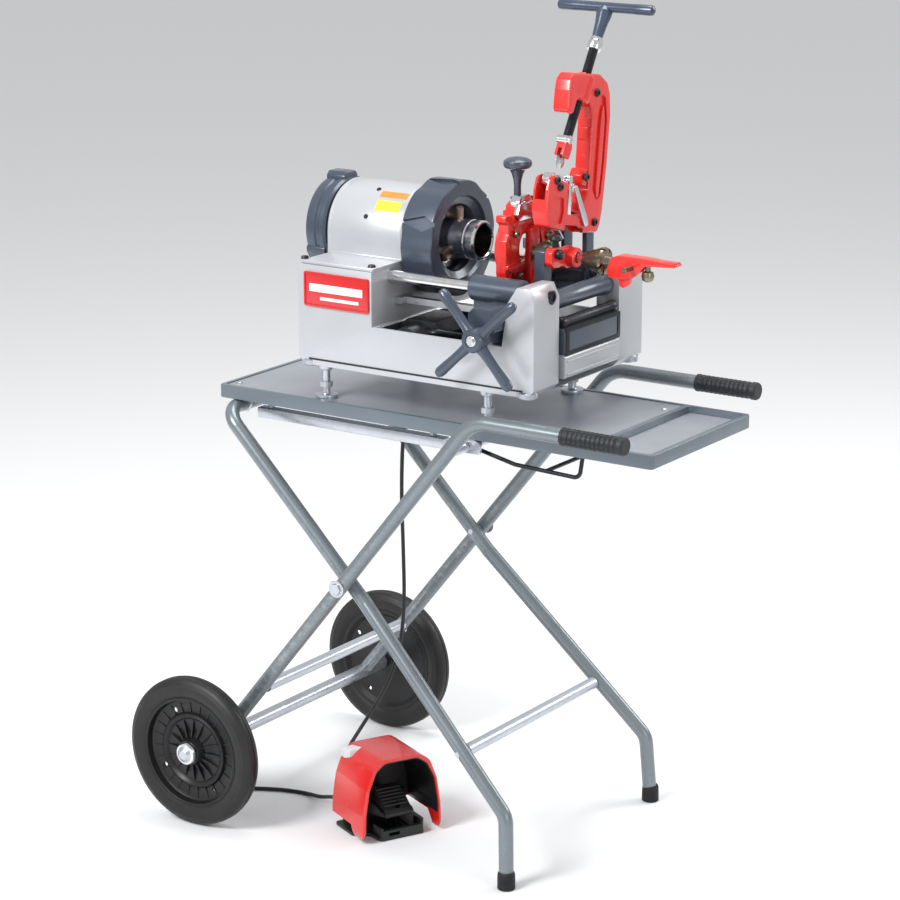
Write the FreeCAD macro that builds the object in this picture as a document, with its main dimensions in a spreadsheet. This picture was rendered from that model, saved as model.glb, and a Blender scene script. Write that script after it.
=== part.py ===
"""Pipe threading machine on a folding wheeled stand, with its foot switch and cords.

Frame: +Z up, floor at Z = 0, origin under the middle of the machine and stand.
+X points from the wheels to the handles, the spindle lies along X at Y = 0.
"""
import FreeCAD
import Part
import Sketcher
import math
import os
import re

os.makedirs("parts", exist_ok=True)
doc = FreeCAD.newDocument("ThreadingMachine")
V = FreeCAD.Vector
AXES = {"X": V(1, 0, 0), "Y": V(0, 1, 0), "Z": V(0, 0, 1)}

# ---------------------------------------------------------------- driving dimensions, mm
SIZES = {
    # stand
    "pivot_x": -96.5, "pivot_z": 513, "axle_x": -391.5, "axle_z": 150,
    "wheel_radius": 150, "tyre_width": 40, "wheel_offset": 331, "axle_half": 365, "axle_radius": 10,
    "rim_radius": 116, "rim_width": 34, "wheel_bore": 10.05, "hub_radius": 24,
    "tube_radius": 14, "tube_wall": 2, "outer_offset": 244, "inner_offset": 212,
    "handle_height": 880, "handle_end": 523.5, "bend_x": 201.5, "grip_length": 130, "grip_radius": 17,
    "leg_top_z": 812, "leg_bend_x": 286, "leg_bend_z": 138, "foot_x": 293.5, "foot_offset": 266,
    "cap_radius": 17, "cap_height": 34, "rung_radius": 12, "support_x": 143.5, "support_z": 808,
    "support_radius": 8, "lug_bore": 14.05, "bolt_radius": 6, "bail_radius": 4, "bail_offset": 150,
    # table
    "table_left": -428.5, "table_right": 541.5, "table_half": 182.5, "table_top": 852,
    "table_rim": 26, "sheet": 3, "tray_step": 410, "tray_depth": 12,
    "rail_length": 434, "rail_width": 22, "rail_height": 20, "rail_offset": 132, "rail_left": -366,
    # machine casting
    "base_left": -226.5, "base_right": 298, "base_half": 192, "base_bottom": 923, "base_floor": 8,
    "wall": 7, "block_right": -58, "block_top": 1115, "sump_top": 1012, "cheek_left": 256,
    "cheek_top": 1124, "cheek_inner": 106, "foot_pad": 22, "foot_bolt": 8, "foot_across": 148,
    "end_wall_top": 985,
    # spindle line
    "spindle_z": 1158, "bore": 31, "spindle_radius": 44, "running_gap": 0.05,
    "barrel_radius": 92, "barrel_wall": 6, "barrel_left": -231.5, "barrel_right": -58,
    "ring_radius": 110, "ring_left": -51.5, "ring_right": 18.5, "ring_bore": 64,
    "nose_radius": 38, "nose_end": 64.5, "jaw_width": 20, "jaw_inner": 32, "jaw_outer": 60,
    "rear_left": -286.5, "rear_right": -236.5, "rear_radius": 94,
    "bearing_radius": 52, "bearing_width": 20, "gear_radius": 77.7, "gear_width": 24,
    "pinion_radius": 19.7, "pinion_y": 40, "shaft_radius": 7, "motor_radius": 45, "motor_length": 98,
    # carriage and tools
    "rod_radius": 11, "rod_offset": 130, "rod_z": 1100, "boss_radius": 24,
    "carriage_left": 128, "carriage_right": 240, "wheel_shaft_x": 203.5, "wheel_shaft_z": 1030,
    "wheel_shaft_radius": 9, "handwheel_y": -238, "spoke_radius": 9, "spoke_length": 112,
    "rack_gap": 15.1, "die_left": 134, "die_width": 36, "die_radius": 72, "die_bore": 36,
    "die_hinge_y": 118, "die_hinge_z": 1176, "pin_radius": 7,
    "cutter_left": 206, "cutter_width": 40, "cutter_y": 104, "cutter_z": 1196,
    "handle_bar": 10, "handle_bar_length": 206, "handle_reach": 308.5, "wheel_across": -112, "wheel_up": 112,
    "roller_drop": 44, "roller_spread": 17, "feed_tilt": 22.5, "screw_radius": 9,
    "reamer_y": -6, "reamer_z": 1150, "reamer_bar": 9, "reamer_right": 470,
    # foot switch, in its own frame with its front face at the origin
    "switch_x": -3.5, "switch_y": -175.5, "switch_turn": -26.4, "hood_half": 88, "hood_height": 166,
    "hood_depth": 132, "hood_wall": 6, "pedal_half": 34,
    # cords
    "cord_radius": 4, "coil_x": -481.5, "coil_y": -125, "coil_outer": 51, "coil_inner": 35,
    "coil_height": 24, "plug_length": 48, "plug_width": 36, "plug_height": 26,
}

sheet = doc.addObject("Spreadsheet::Sheet", "Sizes")
for row_number, (alias, number) in enumerate(SIZES.items(), start=1):
    sheet.set(f"A{row_number}", alias)
    sheet.set(f"B{row_number}", str(number))
    sheet.setAlias(f"B{row_number}", alias)
doc.recompute()


def size(text):
    """Value of a sum of cells and numbers, such as "wheel_radius - 2*tube_wall"."""
    total = 0.0
    plain = str(text).replace("- -", "+ ").replace("+ -", "- ")
    for sign, term in re.findall(r"([+-]?)\s*([\w.*]+)", plain):
        product = -1.0 if sign == "-" else 1.0
        for factor in term.split("*"):
            product *= SIZES[factor] if factor in SIZES else float(factor)
        total += product
    return total


def cells(text):
    """The same sum with every name pointing at its cell of the sheet."""
    return re.sub(r"([A-Za-z_]\w*)", r"Sizes.\1", str(text))


def bind(thing, **sums):
    for prop, text in sums.items():
        thing.setExpression(prop, cells(text))


def spot(x, y, z):
    return V(size(x), size(y), size(z))


def along(axis):
    direction = AXES[axis] if isinstance(axis, str) else V(*axis)
    return FreeCAD.Rotation(V(0, 0, 1), direction)


# ---------------------------------------------------------------- shapes bound to the sheet
def rod(name, radius, length, x, y, z, axis="Z"):
    """Cylinder that starts at the given spot and runs along the axis."""
    part = doc.addObject("Part::Cylinder", name)
    bind(part, Radius=radius, Height=length)
    part.Placement = FreeCAD.Placement(spot(x, y, z), along(axis))
    return part


def block(name, length, width, height, x, y, z):
    """Box with its middle at the given x and y and its underside at z."""
    part = doc.addObject("Part::Box", name)
    bind(part, Length=length, Width=width, Height=height)
    low = V(size(length) / 2, size(width) / 2, 0)
    part.Placement.Base = spot(x, y, z) - low
    return part


def cut(name, base, *tools):
    """Base with every tool taken away."""
    for number, tool in enumerate(tools):
        result = doc.addObject("Part::Cut", name if tool is tools[-1] else f"{name}_step{number}")
        result.Base, result.Tool = base, tool
        base = result
    return base


def fuse(name, *pieces):
    result = doc.addObject("Part::MultiFuse", name)
    result.Shapes = list(pieces)
    result.Refine = True
    return result


def group(name, *pieces):
    """Separate solids that share one node."""
    result = doc.addObject("Part::Compound", name)
    result.Links = list(pieces)
    return result


def sleeve(name, outer, inner, length, x, y, z, axis="Z"):
    """Round tube or ring: outer and inner radius, length along the axis."""
    return cut(name, rod(f"{name}_outside", outer, length, x, y, z, axis),
               rod(f"{name}_inside", inner, length, x, y, z, axis))


def drawn(name, plane, points):
    """Body with a sketched outline; two bound dimensions hold each corner."""
    body = doc.addObject("PartDesign::Body", name)
    base = next(f for f in body.Origin.OriginFeatures if f.Role == plane)
    sketch = body.newObject("Sketcher::SketchObject", f"{name}_sketch")
    sketch.AttachmentSupport = [(base, "")]
    sketch.MapMode = "FlatFace"
    corners = [V(size(a), size(b), 0) for a, b in points]
    count = len(corners)
    for i in range(count):
        sketch.addGeometry(Part.LineSegment(corners[i], corners[(i + 1) % count]), False)
    for i in range(count):
        sketch.addConstraint(Sketcher.Constraint("Coincident", i, 2, (i + 1) % count, 1))
    for i, (a, b) in enumerate(points):
        for kind, text, value in (("DistanceX", a, corners[i].x), ("DistanceY", b, corners[i].y)):
            number = sketch.addConstraint(Sketcher.Constraint(kind, -1, 1, i, 1, value))
            sketch.setExpression(f"Constraints[{number}]", cells(text))
    return body, sketch


def turned(name, points, x, y, z, axis="X"):
    """Solid of revolution: points are (radius, distance along the axis)."""
    body, sketch = drawn(name, "XY_Plane", points)
    spin = body.newObject("PartDesign::Revolution", f"{name}_turn")
    spin.Profile = sketch
    spin.ReferenceAxis = (sketch, ["V_Axis"])
    spin.Angle = 360
    direction = AXES[axis] if isinstance(axis, str) else V(*axis)
    body.Placement = FreeCAD.Placement(spot(x, y, z), FreeCAD.Rotation(V(0, 1, 0), direction))
    return body


def plate(name, plane, points, thickness, x=0, y=0, z=0):
    """Outline in the plane, thickened equally to both sides."""
    body, sketch = drawn(name, plane, points)
    pad = body.newObject("PartDesign::Pad", f"{name}_pad")
    pad.Profile = sketch
    pad.Midplane = True
    bind(pad, Length=thickness)
    body.Placement.Base = spot(x, y, z)
    return body


def bend_path(points, radius=None):
    """Straight runs joined by tangent arcs; without a radius each arc is as large as its runs allow."""
    edges, radii, start = [], [], points[0]
    for before, corner, after in zip(points, points[1:], points[2:]):
        back, ahead = before - corner, after - corner
        half_turn = (math.pi - back.getAngle(ahead)) / 2
        reach = 0.45 * min(back.Length, ahead.Length)
        if radius is not None:
            reach = radius * math.tan(half_turn)
        radii.append(reach / math.tan(half_turn))
        back.normalize()
        ahead.normalize()
        first, last = corner + back * reach, corner + ahead * reach
        inward = (back + ahead).normalize()
        gap = radii[-1] / math.cos(half_turn) - radii[-1]
        middle = corner + inward * gap
        edges += [Part.LineSegment(start, first).toShape(), Part.Arc(first, middle, last).toShape()]
        start = last
    edges.append(Part.LineSegment(start, points[-1]).toShape())
    return Part.Wire(edges), radii


def swept(points, section_radius, radius=None):
    """Round solid along a bent path, with its length and arc radii."""
    path, radii = bend_path(points, radius)
    ends = points[1] - points[0]
    circle = Part.Wire([Part.makeCircle(section_radius, points[0], ends)])
    solid = path.makePipeShell([circle], True, False)
    return solid, path.Length, radii


def feature(name, shape):
    part = doc.addObject("Part::Feature", name)
    part.Shape = shape
    return part


def bent_tube(name, points, radius, bolt_hole):
    """Frame tube: bent steel tube with its real wall and the hole for the pivot bolt."""
    outside = swept(points, size("tube_radius"), radius)[0]
    inside = swept(points, size("tube_radius - tube_wall"), radius)[0]
    hole = Part.makeCylinder(bolt_hole, 600, spot("pivot_x", -300, "pivot_z"), AXES["Y"])
    return feature(name, outside.cut(inside).cut(hole))


def cord(name, points):
    """Free cord along straight runs and wide arcs; its volume is compared with section times length."""
    solid, length, radii = swept(points, size("cord_radius"))
    expected = math.pi * size("cord_radius") ** 2 * length
    print(name, "length", round(length), "radii", [round(r) for r in radii],
          "volume ratio", round(solid.Volume / expected, 4))
    return feature(name, solid)


SIDES = (("near", -1), ("far", 1))


# ---------------------------------------------------------------- table
def make_table():
    length, middle = "table_right - table_left", "0.5*table_left + 0.5*table_right"
    slab = block("table_slab", length, "2*table_half", "table_rim", middle, 0, "table_top - table_rim")
    under = block("table_under", "tray_step - table_left - 2*sheet", "2*table_half - 2*sheet", "table_rim",
                  "0.5*table_left + 0.5*tray_step", 0, "table_top - table_rim - 2*sheet")
    under_tray = block("table_under_tray", "table_right - tray_step", "2*table_half - 2*sheet", "table_rim",
                       "0.5*table_right + 0.5*tray_step - 2*sheet", 0,
                       "table_top - table_rim - tray_depth - sheet")
    tray = block("table_tray", "table_right - tray_step - 16", "2*table_half - 32", "tray_depth",
                 "0.5*table_right + 0.5*tray_step - 2", 0, "table_top - tray_depth")
    lip = block("table_lip", "tray_step - table_left - 22", "2*table_half - 24", 3,
                "0.5*table_left + 0.5*tray_step", 0, "table_top - 2")
    pan = cut("table_pan", slab, under, under_tray, tray, lip)
    lugs = []
    for side, sign in SIDES:
        y = f"{sign * 150}"
        lugs.append(block(f"table_lug_{side}", 36, 6, 52, "axle_x", y, 795))
        lugs.append(block(f"catch_{side}", 30, 6, 28, 322, f"{sign * 166}", 819))
    welded = fuse("table_with_lugs", pan, *lugs)
    bore = rod("table_lug_bore", "lug_bore", 340, "axle_x", -170, "leg_top_z", "Y")
    cut("table_top", welded, bore)
    rails = []
    for side, sign in SIDES:
        rail = block(f"rail_{side}", "rail_length", "rail_width", "rail_height",
                     "rail_left + 0.5*rail_length", f"{sign}*rail_offset", 786)
        slot = block(f"rail_slot_{side}", "rail_length", "rail_width - 5", "rail_height - 3",
                     "rail_left + 0.5*rail_length", f"{sign}*rail_offset", 783)
        hangers = [block(f"rail_hanger_{side}_{n}", 8, 12, 42, x, f"{sign}*rail_offset", 804)
                   for n, x in enumerate((-340, 40))]
        rails.append(fuse(f"rail_hung_{side}", cut(f"rail_channel_{side}", rail, slot), *hangers))
    group("support_rails", *rails)


# ---------------------------------------------------------------- folding frames
def make_frames():
    for side, sign in SIDES:
        inner, foot = sign * size("inner_offset"), sign * size("foot_offset")
        splay_x, splay_z = size("pivot_x") + 34, size("pivot_z") - 34.5
        leg_points = [
            V(size("axle_x"), sign * 110, size("leg_top_z")),
            V(size("axle_x"), inner, size("leg_top_z")),
            V(splay_x, inner, splay_z),
            V(size("leg_bend_x"), sign * 257, size("leg_bend_z")),
            V(size("foot_x"), foot, 6),
        ]
        bent_tube(f"leg_{side}", leg_points, 40, size("bolt_radius + running_gap"))
        outer = sign * size("outer_offset")
        handle_points = [
            V(size("axle_x") + 7, outer, size("axle_z") + 8.6),
            V(size("bend_x"), outer, size("handle_height")),
            V(size("handle_end") - 6, outer, size("handle_height")),
        ]
        bent_tube(f"handle_tube_{side}", handle_points, 70, size("bolt_radius"))
    caps, grips = [], []
    for side, sign in SIDES:
        cap = rod(f"cap_{side}", "cap_radius", "cap_height", "foot_x", f"{sign}*foot_offset", 0)
        hole = swept([V(size("leg_bend_x"), sign * 257, size("leg_bend_z")),
                      V(size("foot_x"), sign * size("foot_offset"), 6)], size("tube_radius"))
        caps.append(cut(f"cap_fitted_{side}", cap, feature(f"cap_hole_{side}", hole[0])))
        grip = rod(f"grip_{side}", "grip_radius", "grip_length", "handle_end - grip_length",
                   f"{sign}*outer_offset", "handle_height", "X")
        core = rod(f"grip_core_{side}", "tube_radius", "grip_length - 6", "handle_end - grip_length",
                   f"{sign}*outer_offset", "handle_height", "X")
        grips.append(cut(f"grip_fitted_{side}", grip, core))
    group("foot_caps", *caps)
    group("handle_grips", *grips)
    # inner frame: cross tube in the table lugs and the low rung
    top = rod("leg_cross_tube", "tube_radius", 220, "axle_x", -110, "leg_top_z", "Y")
    rung = rod("leg_rung", "rung_radius", 456, 178.5, -228, 237, "Y")
    group("leg_crossbars", top, rung)
    # outer frame: low rung, the support rod under the table and the pivot bolts
    low = rod("handle_rung", "rung_radius", 462, -288.5, -231, 273, "Y")
    support = rod("support_rod", "support_radius", 470, "support_x", -235, "support_z", "Y")
    bolts = [rod(f"pivot_bolt_{side}", "bolt_radius", 62, "pivot_x", f"{sign * 262}", "pivot_z",
                 (0, -sign, 0)) for side, sign in SIDES]
    group("handle_crossbars", low, support, *bolts)
    bail = [V(size("support_x") + 9, -size("bail_offset"), 800),
            V(size("support_x") + 90, -size("bail_offset"), 783),
            V(372, -size("bail_offset"), 778), V(380, -size("bail_offset"), 832)]
    arms = []
    for sign in (1, -1):
        points = [V(p.x, p.y * sign, p.z) for p in bail]
        arms.append(feature(f"bail_arm_{'near' if sign > 0 else 'far'}", swept(points, 4, 14)[0]))
    eyes = [sleeve(f"bail_eye_{side}", 13, "support_radius + running_gap", 12, "support_x",
                   f"{sign * 150 - 6}", "support_z", "Y") for side, sign in SIDES]
    rung = rod("bail_rung", "bail_radius", "2*bail_offset", 300, -150, 780.5, "Y")
    fuse("lock_bail", *arms, *eyes, rung)


def make_wheels():
    for side, sign in SIDES:
        y = f"{sign}*wheel_offset"
        outward = (0, sign, 0)
        tyre_outline = [("rim_radius - 4", "-0.5*tyre_width + 4"), ("wheel_radius - 16", "-0.5*tyre_width"),
                        ("wheel_radius", "-0.5*tyre_width + 12"), ("wheel_radius", "0.5*tyre_width - 12"),
                        ("wheel_radius - 16", "0.5*tyre_width"), ("rim_radius - 4", "0.5*tyre_width - 4")]
        turned(f"tyre_{side}", tyre_outline, "axle_x", y, "axle_z", outward)
        turned(f"wheel_{side}", [("wheel_bore", "-24"), ("hub_radius", "-24"), ("hub_radius", "-6"),
                                 ("rim_radius - 12", "-6"), ("rim_radius - 12", "-0.5*rim_width"),
                                 ("rim_radius - 4", "-0.5*rim_width"), ("rim_radius - 4", "0.5*rim_width"),
                                 ("rim_radius - 12", "0.5*rim_width"), ("rim_radius - 12", "2"),
                                 ("hub_radius", "2"), ("hub_radius", "26"), ("wheel_bore", "26")],
               "axle_x", y, "axle_z", outward)
    bar = rod("axle_bar", "axle_radius", "2*axle_half", "axle_x", "-axle_half", "axle_z", "Y")
    tube = rod("axle_tube", "tube_radius", "2*wheel_offset - 54", "axle_x", "-wheel_offset + 27", "axle_z",
               "Y")
    ends = [turned(f"axle_cap_{side}", [("0", "0"), ("16", "0"), ("16", "4"), ("9", "9"), ("0", "9")],
                   "axle_x", f"{sign}*axle_half - {sign * 7}", "axle_z", (0, sign, 0))
            for side, sign in SIDES]
    fuse("wheel_axle", bar, tube, *ends)


# ---------------------------------------------------------------- machine casting and headstock
def make_base():
    outline = [("base_left + 14", "base_bottom"), ("base_right - 14", "base_bottom"),
               ("base_right", "base_bottom + 14"), ("base_right", "cheek_top - 24"),
               ("base_right - 12", "cheek_top"), ("cheek_left + 6", "cheek_top"),
               ("cheek_left - 14", "cheek_top - 30"), ("cheek_left - 26", "sump_top"),
               ("block_right", "sump_top"), ("block_right", "block_top"), ("base_left", "block_top"),
               ("base_left", "base_bottom + 14")]
    shell = plate("base_outline", "XZ_Plane", outline, "2*base_half")
    sump = block("base_sump", "cheek_left - block_right - wall - wall", "2*base_half - 2*wall", 260,
                 "0.5*cheek_left + 0.5*block_right", 0, "base_bottom + base_floor")
    gap = block("base_gap", 120, "2*cheek_inner", 200, "base_right", 0, "end_wall_top")
    room = block("base_room", "block_right - base_left - 2*wall", "2*base_half - 2*wall", 240,
                 "0.5*base_left + 0.5*block_right", 0, "base_bottom + base_floor")
    seat = block("base_tray_seat", 70, 212, 66, 268, 0, "end_wall_top - 60")
    tub = cut("base_tub", shell, sump, gap, room, seat)
    rod_holes = [rod(f"base_rod_{side}", "rod_radius", 360, "block_right - 4", f"{sign}*rod_offset",
                     "rod_z", "X")
                 for side, sign in SIDES]
    trough = rod("base_trough", "bearing_radius", 400, "base_left - 20", 0, "spindle_z", "X")
    cut("machine_base", tub, *rod_holes, trough)
    feet = []
    for end, x in (("left", -196), ("right", 172)):
        for side, sign in SIDES:
            y = f"{sign}*foot_across"
            pad = rod(f"foot_pad_{end}_{side}", "foot_pad", 8, x, y, "table_top - 2")
            bolt = rod(f"foot_bolt_{end}_{side}", "foot_bolt", "base_bottom - table_top - 6", x, y,
                       "table_top + 6")
            nut = rod(f"foot_nut_{end}_{side}", 16, 14, x, y, "base_bottom - 14")
            feet.append(fuse(f"foot_{end}_{side}", pad, bolt, nut))
    group("levelling_feet", *feet)
    rods = [rod(f"guide_rod_{side}", "rod_radius", "base_right - block_right - 6", "block_right - 4",
                f"{sign}*rod_offset", "rod_z", "X") for side, sign in SIDES]
    group("guide_rods", *rods)
    bar = block("rack_bar", "cheek_left - block_right - 20", 14, 12,
                "0.5*cheek_left + 0.5*block_right - 8", -98, "wheel_shaft_z + rack_gap")
    arm = block("rack_arm", 18, 40, 12, "block_right + 9", -98, "wheel_shaft_z + rack_gap")
    fuse("carriage_rack", bar, arm)
    block("front_plaque", 148, 5, 66, -136.5, "-base_half - 2.5", 1037)
    block("oil_pump", 60, 46, 44, 10, 124, "base_bottom + base_floor")
    tray = block("tray_block", 56, 196, 50, 272, 0, "end_wall_top - 44")
    hollow = block("tray_hollow", 44, 184, 46, 272, 0, "end_wall_top - 36")
    front = block("tray_front", 10, 196, 44, 303.5, 0, "end_wall_top - 4")
    rail = rod("tray_bar", 11, 196, 292, -98, "end_wall_top + 60", "Y")
    posts = [block(f"tray_post_{side}", 10, 8, 74, 292, f"{sign * 94}", "end_wall_top - 6") for side,
             sign in SIDES]
    fuse("chip_tray", cut("tray_tub", tray, hollow), front, rail, *posts)


def make_headstock():
    dome = rod("barrel_dome", "barrel_radius", "barrel_right - barrel_left", "barrel_left", 0, "spindle_z",
               "X")
    skirt = block("barrel_skirt", "barrel_right - barrel_left", "2*barrel_radius", "spindle_z - block_top",
                  "0.5*barrel_left + 0.5*barrel_right", 0, "block_top")
    flange = block("barrel_flange", "barrel_right - barrel_left - 10", "2*base_half - 8", 7,
                   "0.5*barrel_left + 0.5*barrel_right + 5", 0, "block_top")
    inner = rod("barrel_inner", "barrel_radius - barrel_wall", "barrel_right - barrel_left - 2*barrel_wall",
                "barrel_left + barrel_wall", 0, "spindle_z", "X")
    below = block("barrel_below", "barrel_right - barrel_left - 2*barrel_wall",
                  "2*barrel_radius - 2*barrel_wall",
                  "spindle_z - block_top", "0.5*barrel_left + 0.5*barrel_right", 0, "block_top")
    trim = block("barrel_trim", 400, 400, 120, "barrel_left", 0, "block_top - 120")
    through = rod("barrel_bore", "bearing_radius", "barrel_right - barrel_left", "barrel_left", 0,
                  "spindle_z", "X")
    cut("headstock_housing", fuse("barrel_solid", dome, skirt, flange), inner, below, trim, through)
    bearing_seats = (("rear", "barrel_left"), ("front", "barrel_right - bearing_width"))
    rings = [sleeve(f"bearing_{end}", "bearing_radius", "spindle_radius + running_gap", "bearing_width",
                    x, 0, "spindle_z", "X") for end, x in bearing_seats]
    group("spindle_bearings", *rings)
    sleeve("spindle_tube", "spindle_radius", "bore", "ring_left - rear_left - 8", "rear_left + 4", 0,
           "spindle_z", "X")
    sleeve("drive_gear", "gear_radius", "spindle_radius", "gear_width", -205, 0, "spindle_z", "X")
    lower = math.sqrt((size("gear_radius + pinion_radius") + 0.6) ** 2 - size("pinion_y") ** 2)
    pinion_z = size("spindle_z") - lower
    wheel = rod("pinion_disc", "pinion_radius", "gear_width + 4", -207, "pinion_y", pinion_z, "X")
    shaft = rod("pinion_shaft", "shaft_radius", 52, -203, "pinion_y", pinion_z, "X")
    fuse("motor_pinion", wheel, shaft)
    body = rod("motor_body", "motor_radius", "motor_length", -172, "pinion_y", pinion_z, "X")
    hole = rod("motor_hole", "shaft_radius + running_gap", 40, -172, "pinion_y", pinion_z, "X")
    legs = block("motor_mount", 70, 50, 110, -122, "pinion_y", "base_bottom + base_floor")
    cut("motor", fuse("motor_on_mount", body, legs), hole)
    return pinion_z


def make_chuck():
    flange = sleeve("chuck_flange", "jaw_outer", "bore", 37, "ring_left", 0, "spindle_z", "X")
    nose = sleeve("chuck_nose", "nose_radius", "bore", "nose_end - ring_left", "ring_left", 0, "spindle_z",
                  "X")
    slots = []
    for number in range(3):
        angle = math.radians(90 + 120 * number)
        slot = block(f"jaw_slot_{number}", 27, "jaw_width + 0.8", 80, 0, 0, 0)
        slot.Placement = FreeCAD.Placement(
            V(-13.2, 0, size("spindle_z")), FreeCAD.Rotation(V(1, 0, 0), math.degrees(angle) - 90)
        ) * FreeCAD.Placement(V(0, -size("jaw_width + 0.8") / 2, 0), FreeCAD.Rotation())
        slots.append(slot)
    cut("chuck_body", fuse("chuck_solid", flange, nose), *slots)
    for number in range(3):
        jaw = doc.addObject("Part::Box", f"chuck_jaw_{number + 1}")
        bind(jaw, Length=26, Width="jaw_width", Height="jaw_outer - jaw_inner")
        jaw.Placement = FreeCAD.Placement(
            V(-12.8, 0, size("spindle_z")), FreeCAD.Rotation(V(1, 0, 0), 120 * number)
        ) * FreeCAD.Placement(V(0, -size("jaw_width") / 2, size("jaw_inner")), FreeCAD.Rotation())
    ring = sleeve("ring_blank", "ring_radius", "ring_bore", "ring_right - ring_left", "ring_left", 0,
                  "spindle_z", "X")
    dents = []
    for number in range(6):
        angle = math.radians(30 + 60 * number)
        reach = size("ring_radius + 22")
        dents.append(rod(f"ring_dent_{number}", 32, 90, "ring_left - 10", reach * math.sin(angle),
                         size("spindle_z") + reach * math.cos(angle), "X"))
    cut("chuck_ring", ring, *dents)
    rear = sleeve("rear_blank", "rear_radius", "spindle_radius + 1", "rear_right - rear_left",
                  "rear_left", 0, "spindle_z", "X")
    lobe = block("rear_lobe", "rear_right - rear_left", 40, 14, "0.5*rear_left + 0.5*rear_right", 0,
                 "spindle_z + rear_radius - 4")
    fuse("rear_ring", rear, lobe)
    pads = []
    for number in range(3):
        pad = doc.addObject("Part::Box", f"rear_pad_{number}")
        bind(pad, Length=3, Width=16, Height=12.7)
        pad.Placement = FreeCAD.Placement(
            V(size("rear_left") + 0.9, 0, size("spindle_z")), FreeCAD.Rotation(V(1, 0, 0), 60 + 120 * number)
        ) * FreeCAD.Placement(V(0, -8, size("bore") + 0.3), FreeCAD.Rotation())
        pads.append(pad)
    group("rear_jaws", *pads)


# ---------------------------------------------------------------- carriage and its tools
def make_carriage():
    middle = "0.5*carriage_left + 0.5*carriage_right"
    bosses = [rod(f"boss_{side}", "boss_radius", "carriage_right - carriage_left", "carriage_left",
                  f"{sign}*rod_offset", "rod_z", "X") for side, sign in SIDES]
    saddle = block("saddle", "carriage_right - carriage_left", "2*rod_offset + 8", 18, middle, 0,
                   "rod_z - 40")
    webs = [block(f"web_{side}", "carriage_right - carriage_left", 20, 40, middle,
                  f"{sign}*rod_offset - {sign * 20}", "rod_z - 38") for side, sign in SIDES]
    apron = block("apron", 60, 60, 44, "wheel_shaft_x", -190, "rod_z - 60")
    apron_link = block("apron_link", 60, 50, 40, "wheel_shaft_x", -150, "rod_z - 40")
    boss = rod("shaft_boss", 15, 146, "wheel_shaft_x", -216, "wheel_shaft_z", "Y")
    drop = block("shaft_drop", 28, 20, 36, "wheel_shaft_x", -78, "wheel_shaft_z + 2")
    ear_span = "die_hinge_z - rod_z + 40"
    ears = [block(f"die_ear_{n}", 8, 30, ear_span, x, "die_hinge_y", "rod_z - 30")
            for n, x in enumerate(("die_left - 5", "die_left + die_width + 5"))]
    ear_cutter = block("cutter_ear", 10, 26, "cutter_z - rod_z + 40", "cutter_left + cutter_width - 16",
                       "cutter_y", "rod_z - 30")
    post = block("reamer_post", 22, 26, "reamer_z - rod_z + 50", "carriage_right - 11", -52, "rod_z - 30")
    solid = fuse("carriage_solid", *bosses, saddle, *webs, apron, apron_link, boss, drop, *ears,
                 ear_cutter, post)
    holes = [rod(f"boss_hole_{side}", "rod_radius + running_gap", 200, "carriage_left - 40",
                 f"{sign}*rod_offset", "rod_z", "X") for side, sign in SIDES]
    shaft_hole = rod("shaft_hole", "wheel_shaft_radius + running_gap", 200, "wheel_shaft_x", -240,
                "wheel_shaft_z", "Y")
    rack_way = block("rack_way", 500, 22, 20, middle, -98, "wheel_shaft_z + rack_gap - 4")
    gear_way = rod("gear_way", 17, 19, "wheel_shaft_x", -107.5, "wheel_shaft_z", "Y")
    pins = [rod("die_pin_hole", "pin_radius + running_gap", 80, "die_left - 20", "die_hinge_y",
                "die_hinge_z", "X"),
            rod("cutter_pin_hole", "pin_radius + running_gap", 80, "cutter_left - 20", "cutter_y",
                "cutter_z", "X"),
            rod("reamer_pin_hole", "pin_radius + running_gap", 60, "carriage_right - 40", -52,
                "reamer_z + 6", "X")]
    cut("carriage", solid, *holes, shaft_hole, rack_way, gear_way, *pins)
    hub = rod("handwheel_hub", 22, 30, "wheel_shaft_x", -252, "wheel_shaft_z", "Y")
    spokes = []
    for angle in (42, 132, 222, 312):
        turn = math.radians(angle)
        reach = size("spoke_length - spoke_radius")
        arm = rod(f"spoke_{angle}", "spoke_radius", "spoke_length - spoke_radius", "wheel_shaft_x",
                  "handwheel_y", "wheel_shaft_z", (math.cos(turn), 0, math.sin(turn)))
        tip = doc.addObject("Part::Sphere", f"spoke_tip_{angle}")
        bind(tip, Radius="spoke_radius")
        tip.Placement.Base = V(size("wheel_shaft_x") + reach * math.cos(turn), size("handwheel_y"),
                               size("wheel_shaft_z") + reach * math.sin(turn))
        spokes += [arm, tip]
    cut("handwheel", fuse("handwheel_cross", hub, *spokes),
        rod("handwheel_hole", "wheel_shaft_radius", 60, "wheel_shaft_x", -248, "wheel_shaft_z", "Y"))
    shaft = rod("handwheel_bar", "wheel_shaft_radius", 158, "wheel_shaft_x", -248, "wheel_shaft_z", "Y")
    gear = rod("handwheel_gear", 14.8, 12, "wheel_shaft_x", -104, "wheel_shaft_z", "Y")
    fuse("handwheel_shaft", shaft, gear)


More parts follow.
